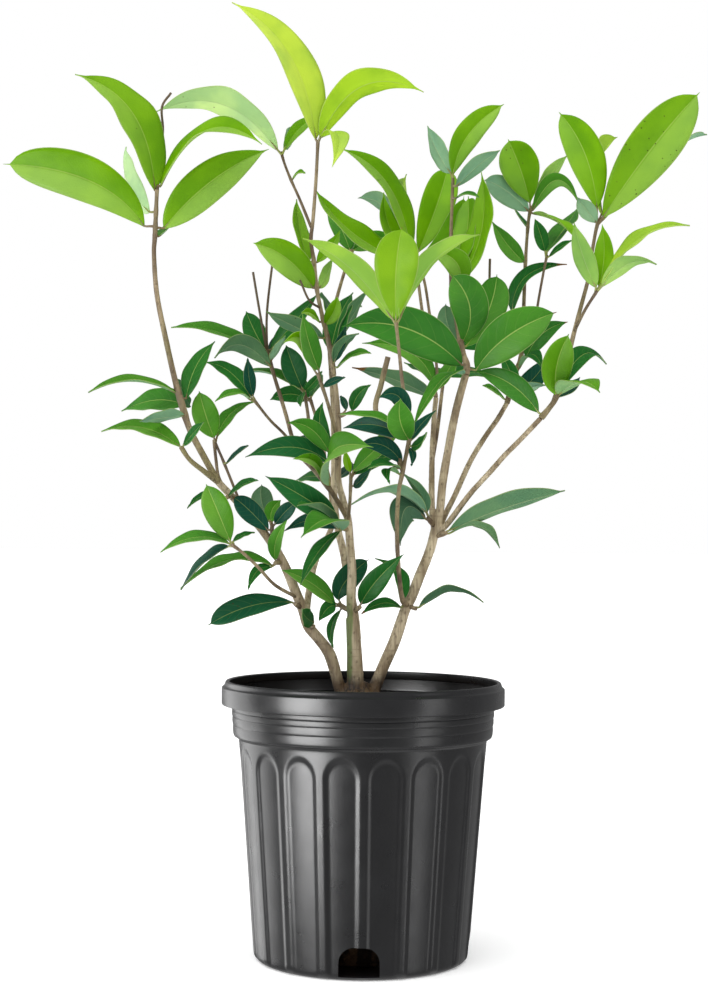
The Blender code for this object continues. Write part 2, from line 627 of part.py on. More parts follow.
# The place on a shoot's own twigs that is nearest to a leaf's base in the front view
def twigRoot(twigs, base):
    best = None
    for first, last, points in twigs:
        for (ax, ay, aBack), (bx, by, bBack) in zip(points, points[1:]):
            dx, dy = bx - ax, by - ay
            t = ((base[0] - ax) * dx + (base[1] - ay) * dy) / (dx * dx + dy * dy)
            highest = 1 - tipMargin / math.hypot(dx, dy) if (bx, by) == points[-1][:2] else 1
            t = max(min(t, highest), 0.0)
            x, y = ax + dx * t, ay + dy * t
            far = math.hypot(base[0] - x, base[1] - y)
            if best is None or far < best[0]:
                best = (far, x, y, aBack + (bBack - aBack) * t)
    return best[1:]


# A blade's width along it, as a share of its widest
def bladeWidth(s):
    return math.sin(math.pi * s ** bladeSkew) ** bladeFullness


# One leaf's midrib, facing and width, with its tip and middle swung back by so many millimetres
def leafForm(twigs, leaf, swing):
    base, via, tip, shown, reach, side, tone = leaf
    rootX, rootY, rootBack = twigRoot(twigs, base)
    root = place(rootX, rootY, rootBack / 1000)
    start = place(base[0], base[1], (rootBack + reach * stalkReach) / 1000)
    end = place(tip[0], tip[1], (rootBack + reach + swing) / 1000)
    chord = (end - start).length
    wide = max(shown * pixelSize, chord * leafSlimness)
    facing = min(max(shown * pixelSize / wide, leastFacing), 1.0)
    bow = -side * facing * bladeBow * chord
    middle = place(via[0], via[1], (rootBack + (reach + swing) / 2) / 1000 + bow)
    handle = middle * 2 - (start + end) / 2
    along = (end - start).normalized()
    toEye = Vector((0, -1, 0))
    toEye = (toEye - along * toEye.dot(along)).normalized()
    up = along.cross(toEye)
    if up.z < -levelEnough or (abs(up.z) <= levelEnough and up.x * (start.x - root.x) > 0):
        up = -up
    face = toEye * facing * side + up * math.sqrt(1 - facing * facing)
    return root, start, handle, end, face.normalized(), wide


def midribAt(form, t):
    root, start, handle, end, face, wide = form
    u = 1 - t
    point = start * (u * u) + handle * (2 * u * t) + end * (t * t)
    along = ((handle - start) * u + (end - handle) * t).normalized()
    return point, along


# The six corners of a blade's section: left, rib and right above, then the same below
def bladeSection(point, along, face, half, lift, thick):
    normal = (face - along * face.dot(along)).normalized()
    across = along.cross(normal)
    rise = normal * (half * bladeFold)
    below = normal * thick / 2
    top = [point + across * half + rise + normal * lift[0], point, point - across * half + rise + normal * lift[1]]
    return [p + below for p in top] + [p - below for p in reversed(top)]


# A closed blade: thin folded sections joined by triangles that match above and below
def bladeMesh(form, stations, thick):
    root, start, handle, end, face, wide = form
    point, along = midribAt(form, 0)
    normal = (face - along * face.dot(along)).normalized()
    across = along.cross(normal)
    stem = normal * petioleRadius
    vertices = [root + across * petioleRadius, root + stem, root - across * petioleRadius, root - stem]
    for i, t in enumerate(stations):
        point, along = midribAt(form, t)
        wave = bladeWave * wide * (1 if i % 2 else -1)
        half = wide / 2 * bladeWidth(t)
        vertices += bladeSection(point, along, face, half, (wave, -wave), thick)
    tip, along = midribAt(form, 1)
    normal = (face - along * face.dot(along)).normalized()
    vertices += [tip + normal * thick / 2, tip - normal * thick / 2]
    left, top, right, low = range(4)
    b = [4 + k for k in range(6)]
    faces = [(left, low, top), (top, low, right)]
    faces += [(left, top, b[0]), (top, b[1], b[0]), (top, right, b[2]), (top, b[2], b[1]), (right, b[3], b[2])]
    faces += [(low, b[3], right), (low, b[4], b[3]), (low, left, b[5]), (low, b[5], b[4]), (left, b[0], b[5])]
    for i in range(len(stations) - 1):
        a = [4 + i * 6 + k for k in range(6)]
        b = [k + 6 for k in a]
        faces += [(a[0], a[1], b[0]), (a[1], b[1], b[0]), (a[1], a[2], b[2]), (a[1], b[2], b[1])]
        faces += [(a[2], a[3], b[3]), (a[2], b[3], b[2])]
        faces += [(a[4], b[3], a[3]), (a[4], b[4], b[3]), (a[4], a[5], b[5]), (a[4], b[5], b[4])]
        faces += [(a[5], a[0], b[0]), (a[5], b[0], b[5])]
    n = len(stations) * 6 - 2
    tipTop = n + 6
    tipLow = tipTop + 1
    faces += [(n, n + 1, tipTop), (n + 1, n + 2, tipTop), (n + 2, n + 3, tipLow), (n + 2, tipLow, tipTop)]
    faces += [(n + 3, n + 4, tipLow), (n + 4, n + 5, tipLow), (n + 5, n, tipTop), (n + 5, tipTop, tipLow)]
    return vertices, faces


# The blade alone, a little fatter than it is, for finding what it would touch
def testBlade(form):
    whole = bladeMesh(form, testStations, bladeThickness + 2 * clearance)
    vertices = [tuple(v) for v in whole[0][4:]]
    faces = [tuple(k - 4 for k in face) for face in whole[1] if min(face) > 3]
    return BVHTree.FromPolygons(vertices, faces)


def leafStations(form):
    root, start, handle, end, face, wide = form
    return longStations if (end - start).length > longLeaf else shortStations


# Settles every leaf: the tip swings nearer or further in small steps until the blade is clear of the rest
def settleLeaves():
    swings = [0]
    for step in range(1, swingCount + 1):
        swings += [swingStep * step, -swingStep * step]
    stems = list(canes.values())
    for parent, twigs, leaves in shoots.values():
        stems += twigs
    placed = []
    for first, last, points in stems:
        path = twigPath(points)
        vertices, faces = tubeMesh(path, twigRadii(first, last, path), caneSides, clearance)
        placed.append(BVHTree.FromPolygons([tuple(v) for v in vertices], faces))
    settled = {}
    for name, (parent, twigs, leaves) in shoots.items():
        settled[name] = []
        for leaf in leaves:
            best = None
            for swing in swings:
                form = leafForm(twigs, leaf, swing)
                tree = testBlade(form)
                hits = sum(bool(tree.overlap(other)) for other in placed)
                if best is None or hits < best[0]:
                    best = (hits, form, tree)
                if hits == 0:
                    break
            placed.append(best[2])
            settled[name].append(best[1])
    return settled


def crownForm():
    path = [Vector((crownX, 0, z)) for z, share in crownRings]
    radii = [crownRadius * share for z, share in crownRings]
    return path, radii


# Canes and root crown, fused as one woody piece
def makeCanes(name):
    path, radii = crownForm()
    crown = makeObject(name, *tubeMesh(path, radii, crownSides))
    tools = []
    for cane, (first, last, points) in canes.items():
        path = twigPath(points)
        tools.append(makeObject("cane_" + cane, *tubeMesh(path, twigRadii(first, last, path), caneSides)))
    applyBoolean(crown, "UNION", tools)
    return crown


# The canes again, a little fatter, in one solid that cuts a shoot's foot to fit against them
def makeFatCanes():
    path, radii = crownForm()
    tubes = [makeObject("fat_crown", *tubeMesh(path, radii, crownSides, gap))]
    for cane, (first, last, points) in canes.items():
        path = twigPath(points)
        tubes.append(makeObject("fat_" + cane, *tubeMesh(path, twigRadii(first, last, path), caneSides, gap)))
    applyBoolean(tubes[0], "UNION", tubes[1:])
    return tubes[0]


# What a shoot's foot is cut by: the fat canes where it meets them, and its parent's fattened twigs
def footCutters(body, parent, fatCanes):
    cutters = []
    if treeOf(body).overlap(treeOf(fatCanes)):
        copied = bpy.data.objects.new("fat_copy", fatCanes.data.copy())
        bpy.context.scene.collection.objects.link(copied)
        cutters.append(copied)
    if parent in shoots:
        first, last, points = shoots[parent][1][0]
        path = twigPath(points)
        cutters.append(makeObject("fat_twig", *tubeMesh(path, twigRadii(first, last, path), twigSides, gap)))
    return cutters


def treeOf(made):
    bm = bmesh.new()
    bm.from_mesh(made.data)
    tree = BVHTree.FromBMesh(bm)
    bm.free()
    return tree


def makeShoot(name, parent, twigs, forms, fatCanes):
    pieces = []
    for i, (first, last, points) in enumerate(twigs):
        path = twigPath(points)
        pieces.append(makeObject(f"twig_{i}", *tubeMesh(path, twigRadii(first, last, path), twigSides)))
    for i, form in enumerate(forms):
        mesh = bladeMesh(form, leafStations(form), bladeThickness)
        pieces.append(makeObject(f"leaf_{i}", *mesh))
    body = pieces[0]
    body.name = name
    body.data.name = name
    applyBoolean(body, "UNION", pieces[1:])
    cutters = footCutters(body, parent, fatCanes)
    if cutters:
        applyBoolean(body, "DIFFERENCE", cutters)
    return body


# Angles round the can, each with 1 on a panel's flat and 0 on its outer edge. Going up the arch the flat
# narrows, and the outer edge narrows less.
def wallAngles(narrow):
    pitch = 360 / panelCount
    angles = []
    for panel in range(panelCount):
        left = panel * pitch + panelTurn - 90
        middle = left + pitch / 2
        flat = (pitch / 2 - landHalf - slopeAngle) * narrow
        edge = (pitch / 2 - landHalf) * (narrow + (1 - narrow) * outerArch)
        angles += [(middle - edge, 0), (middle - flat, 1), (middle + flat, 1), (middle + edge, 0)]
    return angles


def wallRing(radius, z, recess=0.0, narrow=1.0):
    ring = []
    for angle, inPanel in wallAngles(narrow):
        r = radius - recess * inPanel
        ring.append(Vector((r * math.cos(math.radians(angle)), r * math.sin(math.radians(angle)), z)))
    return ring


# A solid of revolution from rings, the first and last closed by a flat face
def ringSolid(name, rings):
    count = len(rings[0])
    vertices = [v for ring in rings for v in ring]
    faces = [tuple(reversed(range(count)))]
    for i in range(len(rings) - 1):
        for k in range(count):
            a = i * count + k
            b = i * count + (k + 1) % count
            faces.append((a, b, b + count, a + count))
    faces.append(tuple(range((len(rings) - 1) * count, len(rings) * count)))
    return makeObject(name, vertices, faces)


def bodyRadius(z):
    share = (z - footHeight) / (bodyTop - footHeight)
    return bodyLowRadius + (bodyTopRadius - bodyLowRadius) * share


# Radius and height at each turn of the can's inner wall, from the floor up
def innerProfile():
    setBack = panelDepth + wall
    return [
        (bodyRadius(floorThickness) - setBack, floorThickness),
        (bodyRadius(bodyTop) - setBack, bodyTop - innerStep),
        (collarLowRadius - wall, collarBottom),
        (collarTopRadius - wall, bandBottom + wall),
        (bandRadius - wall, bandBottom + wall + innerStep),
    ]


def makePot(name):
    rings = [wallRing(baseRadius, 0), wallRing(bodyLowRadius, footHeight, panelDepth * footRecess)]
    rings.append(wallRing(bodyRadius(panelFoot), panelFoot, panelDepth))
    for share, narrow in panelArch:
        z = panelSpring + (panelTop - panelSpring) * share
        rings.append(wallRing(bodyRadius(z), z, panelDepth * (share < 1), narrow))
    rings += [wallRing(bodyTopRadius, bodyTop), wallRing(collarLowRadius, collarBottom)]
    rings += [wallRing(collarTopRadius, bandBottom), wallRing(bandRadius - bandEdge, bandBottom + bandEdge)]
    rings += [wallRing(bandRadius, bandTop), wallRing(lipRadius, bandTop + lipEdge)]
    lipInner = lipRadius - lipWidth
    rings += [wallRing(lipRadius - lipEdge, potHeight), wallRing(lipInner, potHeight)]
    rings += [wallRing(lipInner, bandTop - lipSkirt), wallRing(bandRadius - wall, bandTop - lipSkirt - lipEdge)]
    rings += [wallRing(radius, z) for radius, z in reversed(innerProfile())]
    pot = ringSolid(name, rings)
    applyBoolean(pot, "DIFFERENCE", [makeDrainCutter(i) for i in range(drainCount)])
    return pot


# An arched block that opens a drain at the foot of the wall
def makeDrainCutter(i):
    half = drainWidth / 2
    outline = [(-half, floorThickness), (half, floorThickness)]
    for step in range(shoulderSteps + 1):
        angle = math.radians(90 * step / shoulderSteps)
        x = half * (shoulderStart + shoulderWidth * math.cos(angle))
        z = drainTop * (shoulderSpring + (1 - shoulderSpring) * math.sin(angle))
        outline.append((x, z))
    outline += [(-x, z) for x, z in reversed(outline[2:])]
    turn = math.radians(360 / drainCount * i + drainTurn - 90)
    out = Vector((math.cos(turn), math.sin(turn), 0))
    across = Vector((-out.y, out.x, 0))
    ends = (baseRadius * drainDepth, bandRadius)
    vertices = [out * reach + across * x + Vector((0, 0, z)) for reach in ends for x, z in outline]
    count = len(outline)
    faces = [tuple(range(count)), tuple(reversed(range(count, 2 * count)))]
    faces += [(k, (k + 1) % count, (k + 1) % count + count, k + count) for k in range(count)]
    cutter = makeObject(f"drain_{i}", vertices, faces)
    cutter.hide_render = True
    cutter.display_type = "WIRE"
    return cutter


def evenRing(radius, z):
    angles = [2 * math.pi * k / soilSides for k in range(soilSides)]
    return [Vector((radius * math.cos(a), radius * math.sin(a), z)) for a in angles]


# Potting mix that fills the can to under its band, with a plain hole for the root crown
def makeSoil(name):
    flatMiddle = math.cos(math.radians(180 / panelCount - landHalf - slopeAngle))
    rings = [evenRing(radius * flatMiddle - gap, z + gap) for radius, z in innerProfile()[:3]]
    rings.append(evenRing((collarTopRadius - wall) * flatMiddle - 2 * gap, soilEdge))
    rings += [evenRing(radius, z) for radius, z in moundRings]
    soil = ringSolid(name, rings)
    depth = [Vector((crownX, 0, z)) for z in (crownBottom - gap, soilMound + holeReach)]
    hole = makeObject("crown_hole", *tubeMesh(depth, [crownRadius + 2 * gap] * 2, soilSides))
    applyBoolean(soil, "DIFFERENCE", [hole])
    return soil


# A shoot's colour lies between old and new by the mean tone of its leaves
def leafFinish(leaves):
    share = sum(tone for *form, tone in leaves) / len(leaves) / newestTone
    return [old + (new - old) * share for old, new in zip(oldLeaf, newLeaf)], leafRoughness


def dress(made, material):
    made.data.materials.clear()
    made.data.materials.append(material)
    made.data.shade_smooth()
    made.data.set_sharp_from_angle(angle=math.radians(sharpAngle))


def main():
    clearScene()
    settled = settleLeaves()
    makers = [("pot", makePot), ("potting_mix", makeSoil), ("woody_canes", makeCanes)]
    for name, maker in makers:
        dress(maker(name), makeMaterial(name, finishes[name]))
    fatCanes = makeFatCanes()
    for name, (parent, twigs, leaves) in shoots.items():
        made = makeShoot(name, parent, twigs, settled[name], fatCanes)
        dress(made, makeMaterial(name, leafFinish(leaves)))
    bpy.data.objects.remove(fatCanes, do_unlink=True)


main()
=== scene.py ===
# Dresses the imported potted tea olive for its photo: fine leaves, bark, a moulded can and a soft studio.
import math
import random

import bmesh
import bpy
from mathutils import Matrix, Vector, noise
from mathutils.kdtree import KDTree


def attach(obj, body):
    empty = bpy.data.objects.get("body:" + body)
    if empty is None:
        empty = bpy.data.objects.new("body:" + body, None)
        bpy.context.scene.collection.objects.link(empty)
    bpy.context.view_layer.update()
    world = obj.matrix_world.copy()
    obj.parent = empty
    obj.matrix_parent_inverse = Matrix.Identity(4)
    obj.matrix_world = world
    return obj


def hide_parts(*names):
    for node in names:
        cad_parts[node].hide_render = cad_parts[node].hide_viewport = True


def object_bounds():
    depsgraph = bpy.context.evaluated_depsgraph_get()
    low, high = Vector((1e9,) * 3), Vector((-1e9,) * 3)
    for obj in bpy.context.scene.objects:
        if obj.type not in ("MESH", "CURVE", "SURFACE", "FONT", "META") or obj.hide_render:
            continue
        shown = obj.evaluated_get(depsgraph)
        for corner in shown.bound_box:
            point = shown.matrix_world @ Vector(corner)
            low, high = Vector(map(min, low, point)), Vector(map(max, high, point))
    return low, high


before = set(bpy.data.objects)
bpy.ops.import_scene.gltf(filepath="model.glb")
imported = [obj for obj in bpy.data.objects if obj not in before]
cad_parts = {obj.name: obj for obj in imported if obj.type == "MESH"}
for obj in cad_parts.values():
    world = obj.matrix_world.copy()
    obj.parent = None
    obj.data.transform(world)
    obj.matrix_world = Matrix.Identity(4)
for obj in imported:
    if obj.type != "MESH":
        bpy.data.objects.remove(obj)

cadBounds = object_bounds()
print("Frame loaded:", len(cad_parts), "nodes")

# How the photo was taken, and how a photo point is turned into a place: the eye is level, in front of the can
view = {
    "pixelSize": 0.0008,       # metres in a photo pixel at the can's axis
    "eyeDistance": 1.524,
    "eyeHeight": 0.340,
    "aimX": 364.65,            # the photo point that the eye looks straight at
    "aimY": 532.0,
    "roll": 0.00873,           # radians that the photo leans
    "pictureWidth": 708,
    "pictureHeight": 985,
    "sensor": 36.0,            # millimetres along the picture's longer side
}


# Where a photo point lies, back metres behind the can's axis
def place(x, y, back):
    across = (x - view["aimX"]) + (y - view["aimY"]) * view["roll"]
    down = (y - view["aimY"]) - (x - view["aimX"]) * view["roll"]
    scale = view["pixelSize"] * (1 + back / view["eyeDistance"])
    return Vector((across * scale, back, view["eyeHeight"] - down * scale))


# Canes: first and last width in pixels, then x, y and millimetres behind the can's axis
canes = {
    "left": (13, 7, [(348, 702, 0), (340, 688, 0), (330, 655, -3), (318, 638, -4), (308, 626, -6),
                     (303, 610, -8), (297, 595, -10), (282, 560, -16), (262, 530, -22), (240, 505, -28),
                     (218, 482, -32)]),
    "centre": (19, 13, [(356, 702, -2), (355, 670, -4), (354, 645, -5), (352, 618, -6)]),
    "centreUpper": (10.5, 5, [(354, 640, -5), (352, 618, -6), (351, 600, -9), (352, 570, -10),
                              (350, 545, -11), (348, 520, -12), (343, 500, -10), (338, 478, -8),
                              (339, 440, -6), (337, 400, -4), (334, 375, -2)]),
    "second": (9, 5.5, [(357, 640, 2), (354, 610, 6), (347, 575, 14), (343, 550, 22), (338, 530, 28),
                        (335, 505, 34), (334, 480, 40), (334, 440, 46), (333, 400, 50), (331, 370, 56)]),
    "centreLeft": (8, 6, [(306, 618, -7), (308, 598, 6), (312, 575, 22), (318, 555, 38), (326, 540, 50),
                          (333, 525, 60)]),
    "right": (13, 10, [(370, 702, 2), (375, 687, 4), (384, 665, 7), (395, 640, 10), (405, 610, 14),
                       (411, 598, 15), (420, 575, 18), (430, 550, 20), (435, 530, 22)]),
    "rightA": (7, 5.5, [(435, 534, 22), (432, 510, 22), (432, 460, 30), (434, 420, 38), (436, 397, 42)]),
    "rightB": (9, 8, [(436, 534, 21), (440, 510, 18), (443, 480, 14), (450, 440, 8), (455, 415, 4),
                      (460, 395, 0), (466, 374, -4)]),
    "rightC": (6.5, 5.5, [(438, 532, 22), (445, 515, 28), (455, 495, 36), (470, 462, 50), (485, 437, 62),
                          (497, 420, 70), (507, 403, 78)]),
    "rightD": (6.5, 5.5, [(438, 534, 20), (449, 522, 14), (470, 494, 8), (490, 472, 2), (505, 455, -4),
                          (520, 440, -10), (541, 418, -18)]),
}

# Leafy shoots, each under its node's name: twigs as above, then leaves as base, via, tip, shown width, tip's
# depth, side and tone. Side is 1 where the upper face shows and -1 for the underside. Tone runs from 0, old,
# to 4, new, and 5, washed out. A last word names the leaf's outline.
shoots = {
    "left_leader": ([
        (7, 4, [(218, 482, -32), (203, 455, -34), (190, 430, -36), (182, 405, -36), (175, 380, -35),
                (166, 340, -33), (157, 295, -30), (154, 255, -27), (155, 235, -26), (157, 190, -25)]),
        (2.6, 2.4, [(157, 195, -25), (161, 150, 2), (163, 130, 0), (162, 107, -16), (171, 93, -14)]),
    ], [
        ((144, 226), (90, 181), (3, 164), 45, -20, 1, 3, "blunt"),
        ((164, 228), (213, 180), (269, 149), 40, 20, 1, 3.05),
        ((155, 190), (132, 112), (75, 74), 34, 30, 1, 3.1),
        ((160, 186), (206, 130), (262, 144), 18, -30, 1, 3),
        ((150, 212), (128, 180), (127, 147), 18, 62, -1, 5),
        ((158, 236), (172, 222), (182, 205), 18, 70, 1, 2),
        ((176, 392), (131, 380), (88, 392), 8, -25, 1, 2.3),
        ((184, 405), (155, 400), (121, 411), 23, 15, 1, 1.6),
        ((184, 415), (160, 417), (139, 421), 9, -42, -1, 2),
        ((186, 398), (196, 366), (215, 341), 19, 25, 1, 1.2),
        ((184, 405), (181, 392), (183, 380), 8, 52, 1, 1),
    ]),
    "left_low_twig": ([
        (6, 4, [(219, 483, -32), (205, 472, -40), (190, 460, -48), (181, 447, -54)]),
    ], [
        ((180, 446), (141, 427), (101, 431), 14, -20, 1, 2.2),
        ((183, 445), (193, 433), (203, 422), 10, -28, 1, 1),
    ]),
    "left_thin_twig": ([
        (3.6, 3, [(228, 493, -30), (219, 478, -18), (216, 460, -10), (214, 440, -6)]),
        (3, 2.6, [(241, 505, -28), (231, 480, -14), (222, 458, -8), (214, 440, -6)]),
    ], [
        ((214, 438), (206, 416), (199, 391), 26, -18, 1, 2.1, "broad"),
        ((217, 436), (232, 412), (256, 401), 13, 25, 1, 2),
        ((226, 463), (238, 452), (248, 445), 5, -15, 1, 0),
    ]),
    "left_outer_twig": ([
        (3.6, 3, [(298, 598, -10), (275, 585, -32), (258, 567, -44), (243, 553, -52), (231, 544, -56)]),
    ], [
        ((230, 541), (218, 512), (206, 484), 27, -10, 1, 2.3, "broad"),
        ((229, 543), (195, 537), (160, 552), 10, -20, 1, 2),
        ((228, 546), (203, 562), (180, 590), 8, 26, 1, 0),
        ((233, 541), (244, 534), (255, 532), 5, 15, 1, 1),
    ]),
    "left_cane_leaves": ([
        (5, 4, [(281, 562, -16), (275, 563, -25)]),
    ], [
        ((272, 565), (228, 560), (180, 588), 9, -15, 1, 2),
        ((275, 560), (276, 540), (287, 520), 14, -22, 1, 2),
        ((271, 567), (257, 571), (248, 590), 10, -42, 1, 1),
    ]),
    "left_cane_spray": ([
        (4, 3.2, [(272, 545, -20), (272, 524, -30)]),
    ], [
        ((268, 530), (248, 509), (233, 497), 21, -10, 1, 0),
        ((270, 522), (262, 503), (262, 485), 23, -26, -1, 0.2, "blunt"),
        ((272, 522), (272, 510), (281, 500), 15, -8, 1, 2),
        ((275, 524), (286, 511), (297, 502), 15, 22, 1, 0),
    ]),
    "left_upper_pair": ([
        (4, 3.4, [(230, 495, -30), (225, 499, -38)]),
    ], [
        ((223, 500), (205, 495), (187, 508), 6, -20, 1, 1),
        ((228, 496), (243, 484), (258, 480), 7, -22, 1, 1),
    ]),
    "left_knot_leaf": ([
        (5, 4, [(302, 608, -8), (295, 604, -18)]),
    ], [
        ((292, 602), (250, 606), (208, 625), 21, -22, 1, 0.3, "blunt"),
    ]),
    "left_inner_leaf": ([
        (4, 3.4, [(310, 628, -6), (314, 626, -16)]),
    ], [
        ((314, 622), (306, 617), (303, 609), 13, -22, 1, 1),
    ]),
    "centre_low_left": ([
        (5, 4, [(352, 612, -6), (343, 607, 1), (339, 604, 5)]),
    ], [
        ((335, 603), (310, 582), (282, 570), 17, -18, 1, 2),
        ((336, 606), (328, 608), (319, 621), 14, -22, 1, 1),
        ((340, 610), (331, 628), (333, 648), 8, -14, 1, 1),
        ((339, 600), (345, 582), (369, 559), 24, 40, 1, 0.2, "blunt"),
    ]),
    "centre_low_right": ([
        (5, 4, [(353, 612, -6), (360, 607, -14)]),
    ], [
        ((361, 604), (377, 580), (404, 554), 22, -16, 1, 1),
    ]),
    "centre_left_leaves": ([
        (4.6, 4, [(348, 530, -12), (341, 527, -22)]),
    ], [
        ((336, 519), (302, 496), (265, 476), 26, -26, 1, 0.7),
        ((338, 523), (316, 506), (297, 505), 7, -42, -1, 1.2),
        ((337, 528), (312, 520), (284, 531), 16, -24, 1, 0),
        ((341, 530), (326, 519), (301, 537), 14, -34, 1, 1.8),
        ((339, 531), (318, 552), (300, 585), 13, -30, 1, 1),
    ]),
    "centre_mid_leaves": ([
        (4.6, 4, [(338, 458, -7), (331, 455, -20)]),
    ], [
        ((329, 452), (311, 429), (288, 423), 19, -24, 1, 1.7),
        ((330, 449), (320, 425), (323, 402), 16, 6, 1, 1),
        ((327, 461), (292, 447), (245, 457), 22, -14, 1, 0.6),
    ]),
    "centre_front_twig": ([
        (3.6, 3, [(348, 522, -12), (350, 500, -26), (351, 475, -34)]),
    ], [
        ((350, 472), (347, 461), (345, 450), 8, -12, 1, 3),
        ((353, 471), (378, 447), (404, 426), 18, -10, 1, 2),
        ((354, 474), (376, 460), (400, 456), 15, 16, 1, 1),
        ((353, 486), (361, 480), (371, 468), 9, -22, 1, 0),
    ]),
    "mid_left": ([
        (5, 3.6, [(348, 520, -12), (338, 502, -16), (328, 487, -17), (312, 468, -4), (300, 455, 8),
                  (293, 440, 16), (286, 415, 24), (280, 395, 26), (273, 372, 28), (267, 350, 30)]),
        (3, 2.8, [(300, 455, 8), (285, 435, 0), (270, 420, -8), (254, 400, -14)]),
        (4, 3.4, [(312, 468, -4), (310, 440, 26), (308, 415, 38), (304, 390, 44)]),
        (2.6, 2.4, [(267, 352, 30), (267, 312, 34), (273, 258, 38)]),
        (2.6, 2.4, [(267, 352, 30), (259, 308, 22), (253, 272, 18)]),
    ], [
        ((325, 484), (315, 462), (293, 459), 12, -26, 1, 2.6),
        ((329, 485), (334, 450), (373, 447), 18, -30, 1, 2.2),
        ((251, 397), (229, 371), (205, 362), 15, 20, 1, 1),
        ((250, 399), (235, 392), (215, 401), 8, -30, 1, 2),
        ((253, 396), (249, 376), (248, 358), 12, -26, 1, 0),
        ((262, 353), (215, 331), (171, 327), 14, -15, 1, 2),
        ((270, 366), (240, 344), (214, 358), 17, -34, -1, 0.7),
        ((264, 356), (248, 342), (230, 348), 14, 38, -1, 0.9),
        ((264, 348), (254, 330), (246, 311), 23, 34, 1, 1),
        ((270, 350), (296, 320), (317, 294), 18, -14, 1, 1),
        ((271, 355), (280, 340), (287, 323), 16, 50, 1, 0),
        ((271, 360), (278, 347), (285, 335), 6, -30, -1, 2),
        ((302, 388), (293, 366), (286, 345), 25, -10, 1, 0.5),
        ((301, 389), (262, 371), (233, 380), 7, -40, 1, 2),
        ((303, 392), (301, 398), (300, 406), 7, -26, 1, 1),
        ((305, 391), (314, 382), (322, 371), 10, -16, 1, 1),
    ]),
    "centre_leader": ([
        (4.8, 3.2, [(334, 375, -2), (331, 355, 0), (327, 335, 0), (322, 315, 2), (317, 290, 4), (314, 262, 5),
                    (311, 240, 6), (313, 220, 6), (316, 180, 4), (318, 140, 0)]),
        (2.4, 2.2, [(320, 308, 2), (309, 300, -8), (300, 280, -14)]),
    ], [
        ((316, 139), (289, 54), (232, 2), 35, -10, 1, 3.85),
        ((320, 138), (363, 85), (424, 92), 22, -15, -1, 3.9),
        ((320, 137), (339, 136), (332, 167), 18, -46, 1, 4),
        ((309, 262), (300, 230), (297, 199), 14, 34, 1, 3),
        ((317, 262), (330, 248), (340, 230), 13, 22, 1, 3),
        ((313, 288), (286, 258), (253, 243), 32, -18, 1, 3),
        ((319, 288), (326, 274), (332, 258), 10, 24, -1, 3),
        ((325, 324), (334, 311), (337, 297), 15, -20, 1, 3),
        ((320, 322), (311, 313), (302, 313), 9, -26, 1, 3),
        ((323, 338), (294, 325), (266, 311), 14, -44, -1, 0.9),
        ((331, 350), (339, 318), (353, 292), 23, 10, 1, 1),
        ((336, 346), (350, 318), (368, 289), 9, 48, -1, 1),
        ((337, 367), (354, 354), (371, 353), 7, -24, 1, 2),
        ((333, 361), (340, 345), (346, 325), 12, -16, 1, 0),
        ((334, 362), (344, 342), (359, 333), 9, -32, -1, 1),
    ]),
    "centre_cane_pair": ([
        (4, 3.2, [(336, 434, -6), (328, 404, -16), (318, 374, -24)]),
    ], [
        ((315, 371), (303, 340), (284, 343), 17, -24, 1, 3),
        ((319, 370), (309, 342), (303, 314), 19, -6, 1, 2),
        ((323, 386), (334, 381), (345, 377), 8, -16, 1, 0),
    ]),
    "centre_cane_small": ([
        (4.4, 3.8, [(339, 416, -5), (345, 414, -14)]),
    ], [
        ((352, 411), (358, 395), (371, 385), 13, -20, 1, 1),
        ((346, 410), (344, 402), (340, 396), 7, -24, 1, 0),
    ]),
    "mid_left_top": ([
        (3.2, 2.6, [(311, 227, 6), (300, 200, 16), (291, 180, 24), (285, 165, 30), (281, 152, 34)]),
    ], [
        ((278, 150), (221, 103), (155, 112), 21, -15, -1, 4.7),
        ((284, 150), (303, 125), (326, 115), 14, 18, 1, 3),
        ((285, 147), (290, 137), (295, 125), 7, 30, -1, 2),
        ((292, 179), (298, 172), (305, 173), 5, -18, 1, 3),
    ]),
    "upper_centre": ([
        (3.8, 3, [(436, 397, 42), (433, 380, 46), (428, 350, 58), (422, 310, 72), (418, 280, 82),
                  (414, 252, 88)]),
        (3.2, 3, [(436, 390, 43), (437, 372, 44), (434, 345, 50), (429, 310, 60), (424, 280, 72),
                  (415, 252, 86)]),
    ], [
        ((411, 252), (388, 184), (340, 148), 25, -24, 1, 3),
        ((408, 262), (352, 232), (315, 188), 24, 14, 1, 3),
        ((418, 252), (436, 208), (448, 167), 36, 28, 1, 3, "blunt"),
        ((410, 248), (386, 207), (358, 198), 12, 40, -1, 2),
        ((412, 249), (399, 215), (407, 174), 16, 84, 1, 3.3),
        ((410, 256), (390, 228), (384, 192), 20, 74, 1, 3),
        ((420, 258), (450, 236), (464, 196), 26, 8, 1, 2.8, "blunt"),
        ((434, 384), (410, 352), (362, 343), 21, -20, 1, 2),
        ((431, 396), (394, 378), (352, 367), 14, -44, -1, 0.6),
        ((439, 388), (447, 372), (461, 350), 16, 26, 1, 2),
    ]),
    "upper_right": ([
        (6, 2.8, [(466, 374, -4), (467, 366, -4), (463, 353, -2), (459, 335, 4), (455, 310, 10),
                  (452, 290, 16), (451, 240, 26), (452, 205, 30), (453, 178, 30)]),
        (2.8, 2.6, [(461, 345, 2), (478, 322, 34), (488, 300, 44), (490, 259, 48)]),
    ], [
        ((453, 174), (469, 134), (504, 104), 27, 10, 1, 3.05, "broad"),
        ((451, 173), (437, 149), (428, 126), 16, 34, -1, 2),
        ((456, 186), (480, 163), (500, 150), 14, -34, -1, 2),
        ((455, 198), (467, 193), (479, 197), 6, -22, 1, 2),
